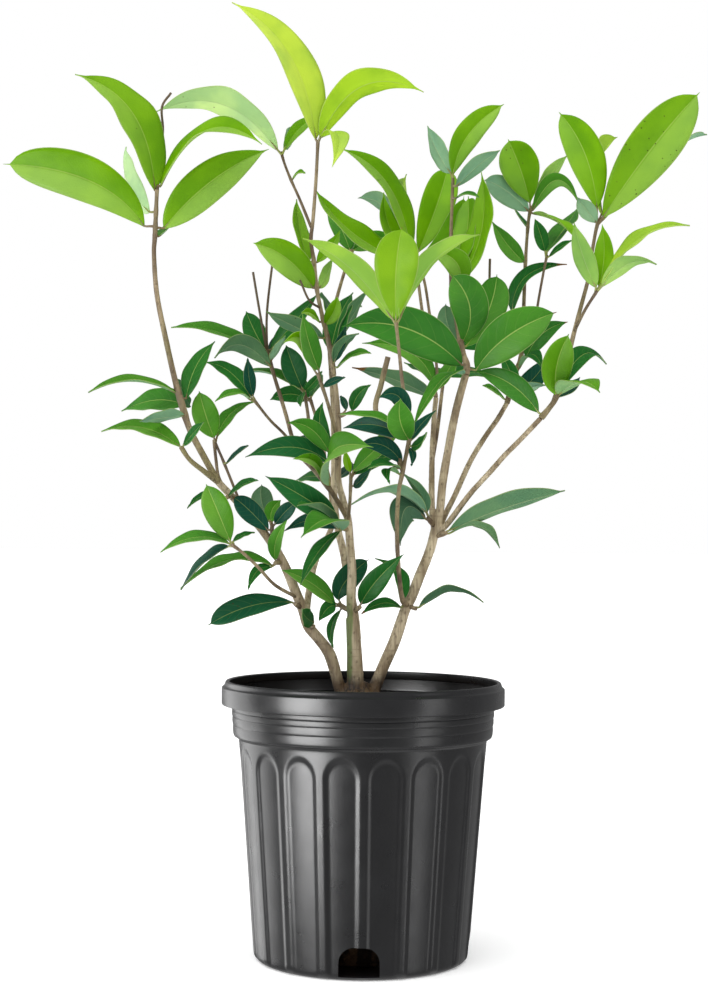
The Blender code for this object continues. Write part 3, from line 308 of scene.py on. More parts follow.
        ((457, 284), (481, 232), (481, 172), 25, 34, 1, 3),
        ((455, 276), (466, 238), (468, 196), 24, 70, 1, 2.8, "blunt"),
        ((459, 287), (456, 262), (428, 250), 26, -34, 1, 2.6),
        ((462, 343), (470, 308), (451, 274), 38, -26, 1, 1.8, "blunt"),
        ((466, 346), (488, 312), (497, 274), 34, 16, 1, 2, "blunt"),
        ((459, 343), (448, 326), (446, 304), 20, 30, -1, 0.6, "blunt"),
        ((462, 365), (405, 328), (341, 327), 44, -26, 1, 1.4),
        ((476, 370), (508, 336), (557, 312), 42, -22, 1, 1.9, "broad"),
        ((464, 374), (440, 381), (411, 430), 12, -34, 1, 2),
    ]),
    "upper_back_right": ([
        (5, 3.2, [(507, 403, 78), (515, 375, 90), (522, 350, 98), (524, 300, 106), (525, 270, 110),
                  (528, 225, 112), (531, 207, 110)]),
        (3, 2.6, [(522, 352, 98), (533, 335, 92), (538, 303, 88), (543, 275, 84), (547, 255, 82)]),
    ], [
        ((530, 203), (521, 171), (508, 139), 42, -16, 1, 2.95, "wideTop"),
        ((528, 211), (505, 190), (484, 180), 27, -40, -1, 2),
        ((534, 202), (551, 176), (567, 155), 14, 26, -1, 3),
        ((533, 210), (557, 180), (580, 205), 17, -18, 1, 2.2),
        ((533, 213), (561, 223), (582, 246), 10, -44, 1, 3),
        ((529, 228), (521, 218), (515, 208), 7, 26, 1, 1),
        ((524, 262), (507, 244), (492, 221), 19, -16, 1, 2),
        ((547, 251), (563, 230), (578, 207), 16, 28, 1, 1.8),
        ((545, 251), (541, 236), (535, 219), 15, -22, 1, 1),
        ((549, 256), (560, 247), (572, 240), 7, -24, 1, 1),
        ((512, 312), (526, 276), (567, 264), 15, -20, 1, 0.9),
        ((526, 358), (542, 334), (568, 322), 21, -22, 1, 1.3),
        ((505, 399), (494, 390), (483, 385), 7, -30, 1, 2),
        ((511, 393), (510, 372), (499, 353), 17, -18, 1, 1),
        ((514, 393), (533, 379), (548, 358), 22, 20, 1, 0),
        ((512, 398), (530, 387), (546, 385), 11, -34, -1, 2),
        ((519, 368), (532, 354), (543, 370), 11, -44, 1, 1),
    ]),
    "right_leader": ([
        (5.5, 3.2, [(541, 418, -18), (550, 407, -20), (556, 397, -22), (566, 365, -24), (574, 333, -24),
                    (580, 310, -22), (588, 280, -20), (590, 265, -20), (595, 235, -18), (598, 222, -18)]),
    ], [
        ((603, 217), (652, 148), (700, 92), 50, -12, 1, 3.1, "broad"),
        ((597, 208), (585, 154), (559, 112), 37, 26, 1, 3, "broad"),
        ((601, 214), (600, 160), (617, 137), 10, 62, -1, 3.6),
        ((604, 218), (666, 154), (707, 134), 14, 44, 1, 2),
        ((596, 222), (586, 209), (577, 197), 15, -42, -1, 2),
        ((556, 395), (557, 365), (569, 334), 30, -30, 1, 2.6, "broad"),
        ((561, 387), (584, 354), (607, 364), 17, 28, 1, 1),
        ((559, 394), (580, 381), (600, 392), 8, -34, 1, 2.5),
        ((557, 397), (568, 388), (580, 377), 14, 46, 1, 0),
        ((538, 412), (509, 383), (474, 371), 24, 12, 1, 1.6),
    ]),
    "right_side": ([
        (3.2, 2.8, [(574, 332, -24), (585, 310, -42), (597, 291, -56)]),
    ], [
        ((600, 286), (641, 237), (690, 225), 10, -16, 1, 3.5),
        ((602, 286), (630, 262), (657, 264), 12, -44, -1, 2.8),
        ((596, 287), (583, 255), (574, 222), 19, -24, -1, 3),
        ((599, 286), (604, 255), (602, 224), 19, 18, 1, 3),
    ]),
    "front_bright": ([
        (5, 3.2, [(408, 606, 15), (402, 598, 0), (398, 560, -22), (397, 520, -38), (399, 490, -50),
                  (402, 475, -56), (405, 460, -62), (409, 440, -70), (408, 420, -76), (405, 400, -82),
                  (402, 380, -88), (400, 360, -94), (396, 322, -104)]),
        (5, 5.5, [(403, 470, -58), (394, 448, -52), (376, 412, -44), (381, 385, -42), (388, 357, -42)]),
    ], [
        ((396, 320), (396, 271), (402, 227), 41, -10, 1, 3.15, "wideTop"),
        ((393, 319), (352, 268), (303, 238), 18, -15, -1, 3.5),
        ((399, 319), (432, 261), (480, 234), 13, -15, -1, 3.3),
        ((409, 440), (400, 420), (401, 399), 26, -22, 1, 1.9),
        ((405, 430), (374, 416), (340, 414), 7, -6, 1, 2),
        ((408, 420), (398, 396), (379, 398), 17, -20, 1, 0),
        ((411, 440), (421, 424), (436, 410), 10, -14, 1, 0),
        ((411, 446), (420, 443), (426, 432), 8, -32, 1, 1),
        ((409, 448), (413, 455), (411, 466), 7, -24, 1, 0),
        ((400, 474), (387, 469), (390, 484), 6, -30, 1, 1),
        ((399, 468), (385, 463), (368, 468), 8, -44, 1, 1),
        ((405, 438), (376, 425), (343, 428), 19, 24, 1, 0),
        ((402, 463), (382, 445), (356, 447), 17, 26, 1, 0),
        ((401, 601), (399, 574), (375, 558), 12, -26, 1, 1),
        ((401, 607), (382, 603), (361, 614), 10, -20, 1, 1),
    ]),
    "right_cane_leaf": ([
        (4, 3.4, [(409, 606, 14), (416, 609, 4)]),
    ], [
        ((419, 607), (452, 590), (484, 602), 7, -22, -1, 0.7),
    ]),
    "right_knot_left": ([
        (5, 4, [(434, 526, 21), (428, 518, 8)]),
    ], [
        ((426, 512), (392, 491), (351, 504), 9, -30, -1, 2),
        ((427, 512), (420, 492), (403, 473), 12, -12, -1, 1),
        ((425, 519), (405, 509), (400, 546), 30, -30, -1, 0),
    ]),
    "right_knot_right": ([
        (5, 4, [(437, 536, 21), (446, 533, 8)]),
    ], [
        ((449, 530), (501, 508), (565, 490), 20, -20, -1, 1.1, "broad"),
        ((449, 533), (480, 525), (500, 548), 7, -38, -1, 1),
    ]),
    "back_right": ([
        (4.6, 3.4, [(432, 462, 30), (437, 432, 62), (441, 400, 96), (445, 365, 124), (447, 338, 144)]),
    ], [
        ((446, 336), (456, 316), (468, 292), 24, 36, 1, 1),
        ((444, 338), (420, 332), (396, 326), 22, 30, 1, 1),
        ((449, 340), (480, 340), (508, 336), 22, 20, 1, 1),
        ((446, 345), (442, 340), (436, 330), 18, 74, 1, 1),
        ((443, 376), (428, 372), (404, 362), 14, 60, 1, 1),
        ((445, 376), (470, 372), (498, 378), 16, 56, 1, 1),
    ]),
    "back_centre": ([
        (5, 3.2, [(331, 370, 56), (330, 345, 76), (334, 310, 100), (345, 270, 126), (352, 250, 136)]),
    ], [
        ((350, 250), (340, 226), (326, 202), 22, 34, 1, 2),
        ((354, 250), (372, 240), (392, 236), 20, 26, 1, 2),
        ((352, 254), (352, 246), (358, 236), 16, 76, 1, 2),
        ((332, 326), (330, 310), (322, 292), 16, 60, 1, 1),
        ((335, 318), (348, 308), (362, 306), 16, 56, 1, 1),
    ]),
    "back_left": ([
        (5.5, 3.4, [(333, 525, 60), (331, 495, 76), (325, 460, 94), (318, 425, 108), (310, 398, 120)]),
    ], [
        ((308, 398), (296, 380), (286, 360), 18, 30, 1, 1),
        ((311, 396), (316, 386), (320, 372), 16, 62, 1, 1),
        ((307, 400), (290, 394), (270, 400), 18, 52, 1, 1),
        ((323, 448), (304, 442), (282, 446), 18, 40, 1, 0),
        ((326, 450), (340, 440), (356, 436), 16, 54, 1, 1),
        ((329, 480), (312, 476), (296, 480), 14, 62, 1, 1),
        ((331, 482), (345, 472), (352, 462), 14, 60, 1, 0),
    ]),
}


# Makes a piece the only one selected, and the active one
def pick(piece):
    bpy.ops.object.select_all(action="DESELECT")
    piece.select_set(True)
    bpy.context.view_layer.objects.active = piece


def addObject(name, data):
    made = bpy.data.objects.new(name, data)
    bpy.context.scene.collection.objects.link(made)
    return made


def faceOutwards(piece):
    pick(piece)
    bpy.ops.object.mode_set(mode="EDIT")
    bpy.ops.mesh.select_all(action="SELECT")
    bpy.ops.mesh.normals_make_consistent(inside=False)
    bpy.ops.object.mode_set(mode="OBJECT")


def applyModifier(piece, kind, **settings):
    pick(piece)
    modifier = piece.modifiers.new(kind.title(), kind)
    for key, value in settings.items():
        setattr(modifier, key, value)
    bpy.ops.object.modifier_apply(modifier=modifier.name)


def joinPieces(name, pieces):
    pick(pieces[0])
    for piece in pieces:
        piece.select_set(True)
    bpy.ops.object.join()
    joined = bpy.context.object
    joined.name = joined.data.name = name
    return joined


# Gives a piece its materials, with the one at index on every face
def dress(piece, materials, index=0):
    piece.data.materials.clear()
    for material in materials:
        piece.data.materials.append(material)
    for face in piece.data.polygons:
        face.material_index = index


def setAttribute(mesh, name, values):
    mesh.attributes.new(name, "FLOAT", "POINT").data.foreach_set("value", values)


# A finished piece takes its node's place in the model
def settle(piece, slot, *nodes):
    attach(piece, "root")
    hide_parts(*nodes)


# A disc drawn out through rings of radius and height, which leaves a closed round form
def makeLathe(name, sides, rings):
    bpy.ops.object.select_all(action="DESELECT")
    bpy.ops.mesh.primitive_circle_add(vertices=sides, radius=rings[0][0], location=(0, 0, 0),
                                      fill_type="NGON")
    made = bpy.context.object
    made.name = made.data.name = name
    bpy.ops.object.mode_set(mode="EDIT")
    bpy.ops.transform.translate(value=(0, 0, rings[0][1]))
    for (radius, z), (nextRadius, nextZ) in zip(rings, rings[1:]):
        share = nextRadius / radius
        bpy.ops.mesh.extrude_region_move(TRANSFORM_OT_translate={"value": (0, 0, nextZ - z)})
        bpy.ops.transform.resize(value=(share, share, 1), center_override=(0, 0, nextZ))
    bpy.ops.object.mode_set(mode="OBJECT")
    return made


# A screen colour, 0 to 255, as the linear colour that nodes take
def paint(red, green, blue):
    shares = [c / 255 for c in (red, green, blue)]
    return [s / 12.92 if s < 0.04045 else ((s + 0.055) / 1.055) ** 2.4 for s in shares] + [1.0]


def addNode(tree, kind, inputs=None, **settings):
    made = tree.nodes.new("ShaderNode" + kind)
    for key, value in settings.items():
        setattr(made, key, value)
    for key, value in (inputs or {}).items():
        if isinstance(value, bpy.types.NodeSocket):
            tree.links.new(value, made.inputs[key])
        else:
            made.inputs[key].default_value = value
    return made


def calc(tree, operation, a, b=0.0, c=0.0):
    return addNode(tree, "Math", {0: a, 1: b, 2: c}, operation=operation).outputs[0]


def times(tree, a, b):
    return calc(tree, "MULTIPLY", a, b)


# a times b, plus c
def timesPlus(tree, a, b, c):
    return calc(tree, "MULTIPLY_ADD", a, b, c)


# Goes smoothly from 0 to 1 as value goes from low to high
def smoothStep(tree, value, low, high):
    made = addNode(tree, "MapRange", {0: value, 1: low, 2: high}, interpolation_type="SMOOTHSTEP")
    return made.outputs[0]


def mixColours(tree, share, first, second, how="MIX"):
    made = addNode(tree, "Mix", {0: share, 6: first, 7: second}, data_type="RGBA", blend_type=how)
    return made.outputs[2]


def tinted(tree, colour, tint):
    return mixColours(tree, 1.0, colour, tint, "MULTIPLY")


# Lays a second colour over the first where share is high, and never more than most of it
def cover(tree, colour, share, most, second):
    return mixColours(tree, times(tree, share, most), colour, second)


# Runs evenly through a list of colours as value goes from 0 to 1
def colourRamp(tree, value, colours):
    made = addNode(tree, "ValToRGB", {0: value})
    elements = made.color_ramp.elements
    while len(elements) < len(colours):
        elements.new(0.5)
    for k, (element, colour) in enumerate(zip(elements, colours)):
        element.position = k / (len(colours) - 1)
        element.color = colour
    return made.outputs[0]


def readAttribute(tree, name):
    return addNode(tree, "Attribute", attribute_name=name).outputs["Fac"]


def stretched(tree, spot, stretch):
    return addNode(tree, "Mapping", {0: spot, 3: stretch}).outputs[0]


def noiseOf(tree, spot, scale, detail=3.0, stretch=(1, 1, 1)):
    inputs = {"Vector": stretched(tree, spot, stretch), "Scale": scale, "Detail": detail}
    return addNode(tree, "TexNoise", inputs).outputs[0]


def cellsOf(tree, spot, scale, feature="F1"):
    return addNode(tree, "TexVoronoi", {"Vector": spot, "Scale": scale}, feature=feature).outputs[0]


# A new material with its shader, and where its points lie on the object
def newMaterial(name, roughness, specular=0.5):
    material = bpy.data.materials.new(name)
    material.use_nodes = True
    tree = material.node_tree
    shader = tree.nodes["Principled BSDF"]
    shader.inputs["Roughness"].default_value = roughness
    shader.inputs["Specular IOR Level"].default_value = specular
    return material, tree, shader, addNode(tree, "TexCoord").outputs["Object"]


# Gives a skin its colour, and its relief so many metres deep
def finishSkin(tree, shader, colour, relief, depth):
    tree.links.new(colour, shader.inputs["Base Color"])
    bump = addNode(tree, "Bump", {"Height": relief, "Distance": depth, "Strength": 1.0})
    tree.links.new(bump.outputs[0], shader.inputs["Normal"])


# Waxy leaf skins. Tone runs from 0, old and blue-green, to 4, new and yellow-green, and 5, washed out.
leafSkin = {
    "upperTones": (paint(20, 76, 54), paint(36, 104, 36), paint(72, 136, 36), paint(106, 160, 0),
                   paint(190, 216, 70), paint(190, 226, 160)),
    "underTones": (paint(74, 108, 76), paint(98, 138, 92), paint(132, 171, 128), paint(154, 194, 84),
                   paint(168, 208, 30), paint(198, 230, 166)),
    "patchScale": 26,
    "lightPatch": (1.14, 1.10, 1.08, 1),
    "darkPatch": (0.78, 0.86, 0.94, 1),
    "shaded": (0.76, 0.84, 0.92, 1),   # what the darkest leaves are multiplied by
    # The next entries paint light: the lower half of a blade, where it tilts down, is painted lighter and
    # paler
    "paintedLightLift": (1.45, 1.28, 1.30, 1),  # painted light: how much lighter the lower half of a blade is painted, where it tilts down
    "paintedLightShare": 0.70,
    "paintedLightPale": paint(178, 208, 122),   # painted light: the paler colour painted over the lower half of a new blade
    "paintedLightPaleShare": 0.34,
    "paintedLightPaleTones": (1.4, 3.0),
    "veins": 8.5,                      # side veins on each half
    "veinLean": 0.20,                  # how far a side vein climbs from the rib to the edge
    "veinCurve": 1.3,
    "veinShare": 0.03,                 # how much paler than the blade
    "veinTones": (3.6, 1.6),           # the tones between which the side veins come in
    "edgeWidth": 0.030,                # share of the half blade
    "edgeShare": 0.40,
    "edgeColour": paint(196, 206, 140),
    "ribWidth": 0.038,
    "ribShare": 0.46,
    "ribColour": paint(196, 216, 120),
    "underRibColour": paint(190, 204, 150),
    "speckScale": 190,
    "speckColour": paint(58, 46, 22),
    "speckShare": 0.8,
    "dryColour": paint(120, 84, 46),
    "netScale": 620,                   # the fine net of veins
    "relief": 0.0005,
    "roughness": 0.42,
    "underRoughness": 0.60,
    "specular": 0.07,
}

# The leaves with dark spots, by the photo point of their tip
spottedLeaves = ((700, 92), (600, 392), (690, 225), (88, 392))

# How far from the tip a few leaves have dried, as a share of their length, by the photo point of their tip
dryTips = {(352, 367): 0.16, (567, 264): 0.12, (568, 322): 0.07, (557, 312): 0.05, (402, 227): 0.04,
           (233, 497): 0.08, (361, 614): 0.10}


def makeLeafSkin(name, under):
    roughness = leafSkin["underRoughness" if under else "roughness"]
    material, tree, shader, spot = newMaterial(name, roughness, leafSkin["specular"])
    tone, shade, low, dry, spots = [readAttribute(tree, "leaf" + word)
                                    for word in ("Tone", "Shade", "PaintedLight", "Dry", "Spots")]
    bladePlace = addNode(tree, "UVMap", uv_map="UVMap").outputs[0]
    across, along, _ = addNode(tree, "SeparateXYZ", {0: bladePlace}).outputs
    side = calc(tree, "ABSOLUTE", timesPlus(tree, across, 2.0, -1.0))

    # The blade's own tone in soft patches, with painted light that makes its lower half lighter
    tones = leafSkin["underTones" if under else "upperTones"]
    colour = colourRamp(tree, calc(tree, "DIVIDE", tone, 5.0), tones)
    patches = noiseOf(tree, spot, leafSkin["patchScale"])
    lighter, darker = [tinted(tree, colour, leafSkin[tint]) for tint in ("lightPatch", "darkPatch")]
    colour = mixColours(tree, smoothStep(tree, patches, 0.35, 0.65), darker, lighter)
    colour = mixColours(tree, shade, tinted(tree, colour, leafSkin["shaded"]), colour)
    # Painted light: the lower half of the blade, where it tilts down, is painted lighter
    colour = cover(tree, colour, low, leafSkin["paintedLightShare"], tinted(tree, colour, leafSkin["paintedLightLift"]))
    if not under:
        # Painted light: the lower half of a new blade is painted paler still
        paintedPale = times(tree, smoothStep(tree, tone, *leafSkin["paintedLightPaleTones"]), leafSkin["paintedLightPaleShare"])
        colour = cover(tree, colour, low, paintedPale, leafSkin["paintedLightPale"])

    # Side veins, the thin pale edge and the midrib, which is fainter on old and on new leaves
    climb = times(tree, calc(tree, "POWER", side, leafSkin["veinCurve"]), leafSkin["veinLean"])
    count = times(tree, calc(tree, "SUBTRACT", along, climb), leafSkin["veins"])
    apart = calc(tree, "ABSOLUTE", calc(tree, "SUBTRACT", calc(tree, "FRACT", count), 0.5))
    fade = times(tree, smoothStep(tree, side, 1.0, 0.75), smoothStep(tree, tone, *leafSkin["veinTones"]))
    vein = times(tree, smoothStep(tree, apart, 0.40, 0.5), fade)
    pale = leafSkin["underRibColour" if under else "ribColour"]
    colour = cover(tree, colour, vein, leafSkin["veinShare"], pale)
    edge = smoothStep(tree, side, 1 - leafSkin["edgeWidth"] * 1.6, 1 - leafSkin["edgeWidth"] * 0.4)
    colour = cover(tree, colour, edge, leafSkin["edgeShare"], leafSkin["edgeColour"])
    rib = smoothStep(tree, side, leafSkin["ribWidth"], leafSkin["ribWidth"] * 0.4)
    fresh = timesPlus(tree, smoothStep(tree, tone, 2.4, 3.2), -0.4, 1.0)
    faint = timesPlus(tree, smoothStep(tree, tone, 0.0, 1.6), 0.4, 0.6)
    rib = times(tree, rib, times(tree, fresh, faint))
    colour = cover(tree, colour, rib, leafSkin["ribShare"], pale)

    # Dark specks and a dried tip
    spread = noiseOf(tree, spot, 15, 1)
    where = smoothStep(tree, timesPlus(tree, spots, 0.14, spread), 0.62, 0.68)
    speck = times(tree, smoothStep(tree, cellsOf(tree, spot, leafSkin["speckScale"]), 0.14, 0.09), where)
    colour = cover(tree, colour, speck, leafSkin["speckShare"], leafSkin["speckColour"])
    reach = timesPlus(tree, patches, 0.05, calc(tree, "ADD", along, dry))
    colour = mixColours(tree, smoothStep(tree, reach, 1.03, 1.06), colour, leafSkin["dryColour"])

    net = cellsOf(tree, spot, leafSkin["netScale"], "DISTANCE_TO_EDGE")
    veinHeight = times(tree, vein, 0.3 if under else -0.2)
    fine = timesPlus(tree, smoothStep(tree, net, 0.0, 0.25), 0.08, veinHeight)
    finishSkin(tree, shader, colour, timesPlus(tree, patches, 0.6, fine), leafSkin["relief"])
    return material


# Woody skins: the old canes, the young twigs and the leaf stalks
barkSkin = {
    "old": paint(204, 188, 156),
    "oldDark": paint(150, 132, 102),
    "young": paint(160, 142, 110),
    "youngDark": paint(98, 80, 60),
    "mottleScale": 90,
    "youngEdge": (0.37, 0.50),         # heights between which the bark goes from old to young
    "tint": paint(132, 124, 80),
    "thin": paint(84, 66, 52),         # the thinnest twigs
    "thinShare": 0.8,
    "green": paint(92, 122, 44),
    "greenShare": 0.85,
    "greenAcross": -0.0120,            # the middle cane is green on its left, up to where it thins
    "greenEdge": (0.0055, 0.0035),
    "greenWander": 0.003,
    "greenTop": (0.300, 0.27),
    "fibreScale": 240,
    "crown": paint(92, 72, 46),
    "crownDark": paint(40, 30, 22),
    "crownEdge": (0.238, 0.226),       # heights between which the bark turns into the fibrous crown
    "crownWander": 0.016,
    "pore": paint(98, 82, 58),
    "poreScale": 260,
    "poreStretch": (1, 1, 0.7),
    "poreShare": 0.45,
    "streak": paint(104, 82, 62),
    "streakShare": 0.42,
    "streakScale": 620,
    "streakStretch": (1, 1, 0.05),
    "ringScale": 60,
    "ringStretch": (0.3, 0.3, 6),
    "ringShare": 0.8,
    "grainScale": 420,
    "relief": 0.0005,
    "roughness": 0.72,
    "specular": 0.3,
}


def makeBark(name, young):
    material, tree, shader, spot = newMaterial(name, barkSkin["roughness"], barkSkin["specular"])
    across, _, height = addNode(tree, "SeparateXYZ", {0: spot}).outputs
    mottle = noiseOf(tree, spot, barkSkin["mottleScale"], 5, (1, 1, 0.35))
    fresh = mixColours(tree, smoothStep(tree, mottle, 0.35, 0.65), barkSkin["youngDark"], barkSkin["young"])
    if young:
        tint = smoothStep(tree, noiseOf(tree, spot, 14, 2), 0.45, 0.75)
        colour = mixColours(tree, tint, fresh, barkSkin["tint"])
        thin = smoothStep(tree, readAttribute(tree, "twigWidth"), 3.6, 2.4)
        colour = cover(tree, colour, thin, barkSkin["thinShare"], barkSkin["thin"])
    else:
        old = mixColours(tree, smoothStep(tree, mottle, 0.36, 0.66), barkSkin["oldDark"], barkSkin["old"])
        colour = mixColours(tree, smoothStep(tree, height, *barkSkin["youngEdge"]), old, fresh)
        beside = calc(tree, "ABSOLUTE", calc(tree, "SUBTRACT", across, barkSkin["greenAcross"]))
        beside = timesPlus(tree, mottle, barkSkin["greenWander"], beside)
        green = smoothStep(tree, beside, *barkSkin["greenEdge"])
        green = times(tree, green, smoothStep(tree, height, *barkSkin["greenTop"]))
        colour = cover(tree, colour, green, barkSkin["greenShare"], barkSkin["green"])
        fibres = smoothStep(tree, noiseOf(tree, spot, barkSkin["fibreScale"], 4, (1, 1, 0.12)), 0.4, 0.62)
        crown = mixColours(tree, fibres, barkSkin["crownDark"], barkSkin["crown"])
        low = timesPlus(tree, mottle, barkSkin["crownWander"], height)
        colour = mixColours(tree, smoothStep(tree, low, *barkSkin["crownEdge"]), colour, crown)

    # Pores, rings and fine lengthwise streaks on both
    pores = cellsOf(tree, stretched(tree, spot, barkSkin["poreStretch"]), barkSkin["poreScale"])
    pore = smoothStep(tree, pores, 0.30, 0.14)
    colour = cover(tree, colour, pore, barkSkin["poreShare"], barkSkin["pore"])
    rings = noiseOf(tree, spot, barkSkin["ringScale"], 2, barkSkin["ringStretch"])
    streaks = noiseOf(tree, spot, barkSkin["streakScale"], 4, barkSkin["streakStretch"])
    streaks = smoothStep(tree, streaks, 0.46, 0.64)
    ring = times(tree, smoothStep(tree, rings, 0.60, 0.68), barkSkin["ringShare"])
    marks = calc(tree, "MAXIMUM", streaks, ring)
    colour = cover(tree, colour, marks, barkSkin["streakShare"], barkSkin["streak"])
    grain = noiseOf(tree, spot, barkSkin["grainScale"], 4, (1, 1, 0.3))
    relief = timesPlus(tree, grain, 0.5, timesPlus(tree, rings, 0.8, pore))
    finishSkin(tree, shader, colour, timesPlus(tree, streaks, -0.4, relief), barkSkin["relief"])
    return material


stalkSkin = {
    "dark": paint(116, 96, 60),
    "green": paint(142, 150, 70),
    "patchScale": 45,
    "grainScale": 700,
    "relief": 0.0002,
    "roughness": 0.5,
}


def makeStalkSkin(name):
    material, tree, shader, spot = newMaterial(name, stalkSkin["roughness"])
    share = smoothStep(tree, noiseOf(tree, spot, stalkSkin["patchScale"], 2), 0.42, 0.66)
    colour = mixColours(tree, share, stalkSkin["dark"], stalkSkin["green"])
    finishSkin(tree, shader, colour, noiseOf(tree, spot, stalkSkin["grainScale"], 2), stalkSkin["relief"])
    return material


# One flat leaf blade, one unit long and half a leaf's real width on each side, that every leaf is bent from
leafBlade = {
    "columns": 12,
    "rows": 30,
    "crowding": 1.35,                  # draws the columns in towards the rib
    "ribThickness": 0.0011,
    "ribSpread": 0.10,
    "bladeThickness": 0.00045,
    "footHalf": 0.0008,                # half width where the stalk comes in, and at the very tip
    "tipHalf": 0.00012,
}


def makeBladePattern():
    bpy.ops.object.select_all(action="DESELECT")
    bpy.ops.mesh.primitive_grid_add(x_subdivisions=leafBlade["columns"], y_subdivisions=leafBlade["rows"],
                                    size=2, calc_uvs=True)
    pattern = bpy.context.object
    mesh = pattern.data
    ribs = pattern.vertex_groups.new(name="rib")
    thin = leafBlade["bladeThickness"] / leafBlade["ribThickness"]
    for vertex in mesh.vertices:
        u = math.copysign(abs(vertex.co.x) ** leafBlade["crowding"], vertex.co.x)
        vertex.co = (u, (vertex.co.y + 1) / 2, 0)
        thickness = thin + (1 - thin) * math.exp(-((u / leafBlade["ribSpread"]) ** 2))
        ribs.add([vertex.index], thickness, "REPLACE")
    for loop in mesh.loops:
        spot = mesh.vertices[loop.vertex_index].co
        mesh.uv_layers["UVMap"].data[loop.index].uv = ((spot.x + 1) / 2, spot.y)
    dress(pattern, leafSkins)
    applyModifier(pattern, "SOLIDIFY", thickness=leafBlade["ribThickness"], offset=-1, vertex_group="rib",
                  material_offset=1, material_offset_rim=0)
    mesh.shade_smooth()
    return pattern


# How a leaf of each outline widens from its foot and narrows to its tip, and how wide its drawn-out tip is
outlines = {
    "oval": (0.66, 0.72, 0.0009),
    "long": (0.72, 0.94, 0.0007),
    "blunt": (0.80, 0.50, 0.0006),
    "broad": (0.80, 0.64, 0.0008),
    "wideTop": (0.95, 0.55, 0.0008),
}

leafForms = {
    "slimness": 0.30,          # least width as a share of a leaf's length
    "longBelow": 0.36,         # a leaf without an outline's name is long up to this share, and oval past it
    "leastFacing": 0.17,
    "bow": 0.07,
    "stalkReach": 0.06,
    "levelEnough": 0.05,
    "swingStep": 5,            # millimetres that a tip swings back or forward to clear its neighbours
    "swingCount": 14,
    "tipMargin": 3.5,
    "fold": 0.34,
    "foldRange": (0.6, 1.2),
    "foldFlatter": 0.3,        # how much a fold flattens towards the edge
    "waves": 0.085,
    "waveRange": (0.4, 1.3),
    "waveCounts": (1.6, 2.8),
    "twist": 0.28,
    "twistMiddle": 0.35,
    "groove": (0.00035, 0.0009, 0.002),    # along the rib: depth, width and the half blade that has it all
    "curl": (0.0003, 0.88),    # how far the edge turns down, and from which share of the half blade
    "nibFrom": 0.955,          # where along a leaf its drawn-out tip starts
    "nibBlend": 0.05,
}


# The place on a shoot's own twigs that is nearest to a leaf's base in the photo
def twigRoot(twigs, base):
    best = None
    for _, _, points in twigs:
        for (ax, ay, aBack), (bx, by, bBack) in zip(points, points[1:]):
            dx, dy = bx - ax, by - ay
            t = ((base[0] - ax) * dx + (base[1] - ay) * dy) / (dx * dx + dy * dy)
            highest = 1 - leafForms["tipMargin"] / math.hypot(dx, dy) if (bx, by) == points[-1][:2] else 1
            t = max(min(t, highest), 0.0)
            x, y = ax + dx * t, ay + dy * t
            far = math.hypot(base[0] - x, base[1] - y)
            if best is None or far < best[0]:
                best = (far, x, y, aBack + (bBack - aBack) * t)
    return best[1:]


# One leaf's midrib, facing and width, with its tip and middle swung back by so many millimetres
def leafForm(twigs, leaf, swing):
    base, via, tip, shown, reach, side = leaf[:6]
    rootX, rootY, rootBack = twigRoot(twigs, base)
    root = place(rootX, rootY, rootBack / 1000)
    start = place(*base, (rootBack + reach * leafForms["stalkReach"]) / 1000)
    end = place(*tip, (rootBack + reach + swing) / 1000)
    chord = (end - start).length
    wide = max(shown * view["pixelSize"], chord * leafForms["slimness"])
    facing = min(max(shown * view["pixelSize"] / wide, leafForms["leastFacing"]), 1.0)
    bow = -side * facing * leafForms["bow"] * chord
    middle = place(*via, (rootBack + (reach + swing) / 2) / 1000 + bow)
    along = (end - start).normalized()
    toEye = Vector((0, -1, 0))
    toEye = (toEye - along * toEye.dot(along)).normalized()
    up = along.cross(toEye)
    level = abs(up.z) <= leafForms["levelEnough"]
    if (level and up.x * (start.x - root.x) > 0) or up.z < -leafForms["levelEnough"]:
        up = -up
    face = toEye * facing * side + up * math.sqrt(1 - facing * facing)
    return {"root": root, "start": start, "handle": middle * 2 - (start + end) / 2, "end": end,
            "face": face.normalized(), "wide": wide, "slim": wide / chord}


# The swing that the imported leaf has: the one whose tip lies on a corner of its node
def settledForm(twigs, leaf, corners):
    swings = [0]
    for step in range(1, leafForms["swingCount"] + 1):
        swings += [leafForms["swingStep"] * step, -leafForms["swingStep"] * step]
    forms = [leafForm(twigs, leaf, swing) for swing in swings]
    return min(forms, key=lambda form: corners.find(form["end"])[2])


def midribAt(form, t):
    start, handle, end = form["start"], form["handle"], form["end"]
    u = 1 - t
    point = start * (u * u) + handle * (2 * u * t) + end * (t * t)
    return point, ((handle - start) * u + (end - handle) * t).normalized()


# Half the blade's width at t: the outline up to the drawn-out tip, which is thin from there on
def halfWidth(outline, t, wide):
    low, high, nib = outlines[outline]
    peak = low / (low + high)
    end = leafForms["nibFrom"]
    body = (t / peak) ** low * (max(end - t, 0) / (end - peak)) ** high
    foot = leafBlade["footHalf"] * (1 - t)
    if t > end - leafForms["nibBlend"]:
        foot = nib * (1 - t) / (1 - end)
    return max(wide / 2 * body, foot, leafBlade["tipHalf"])


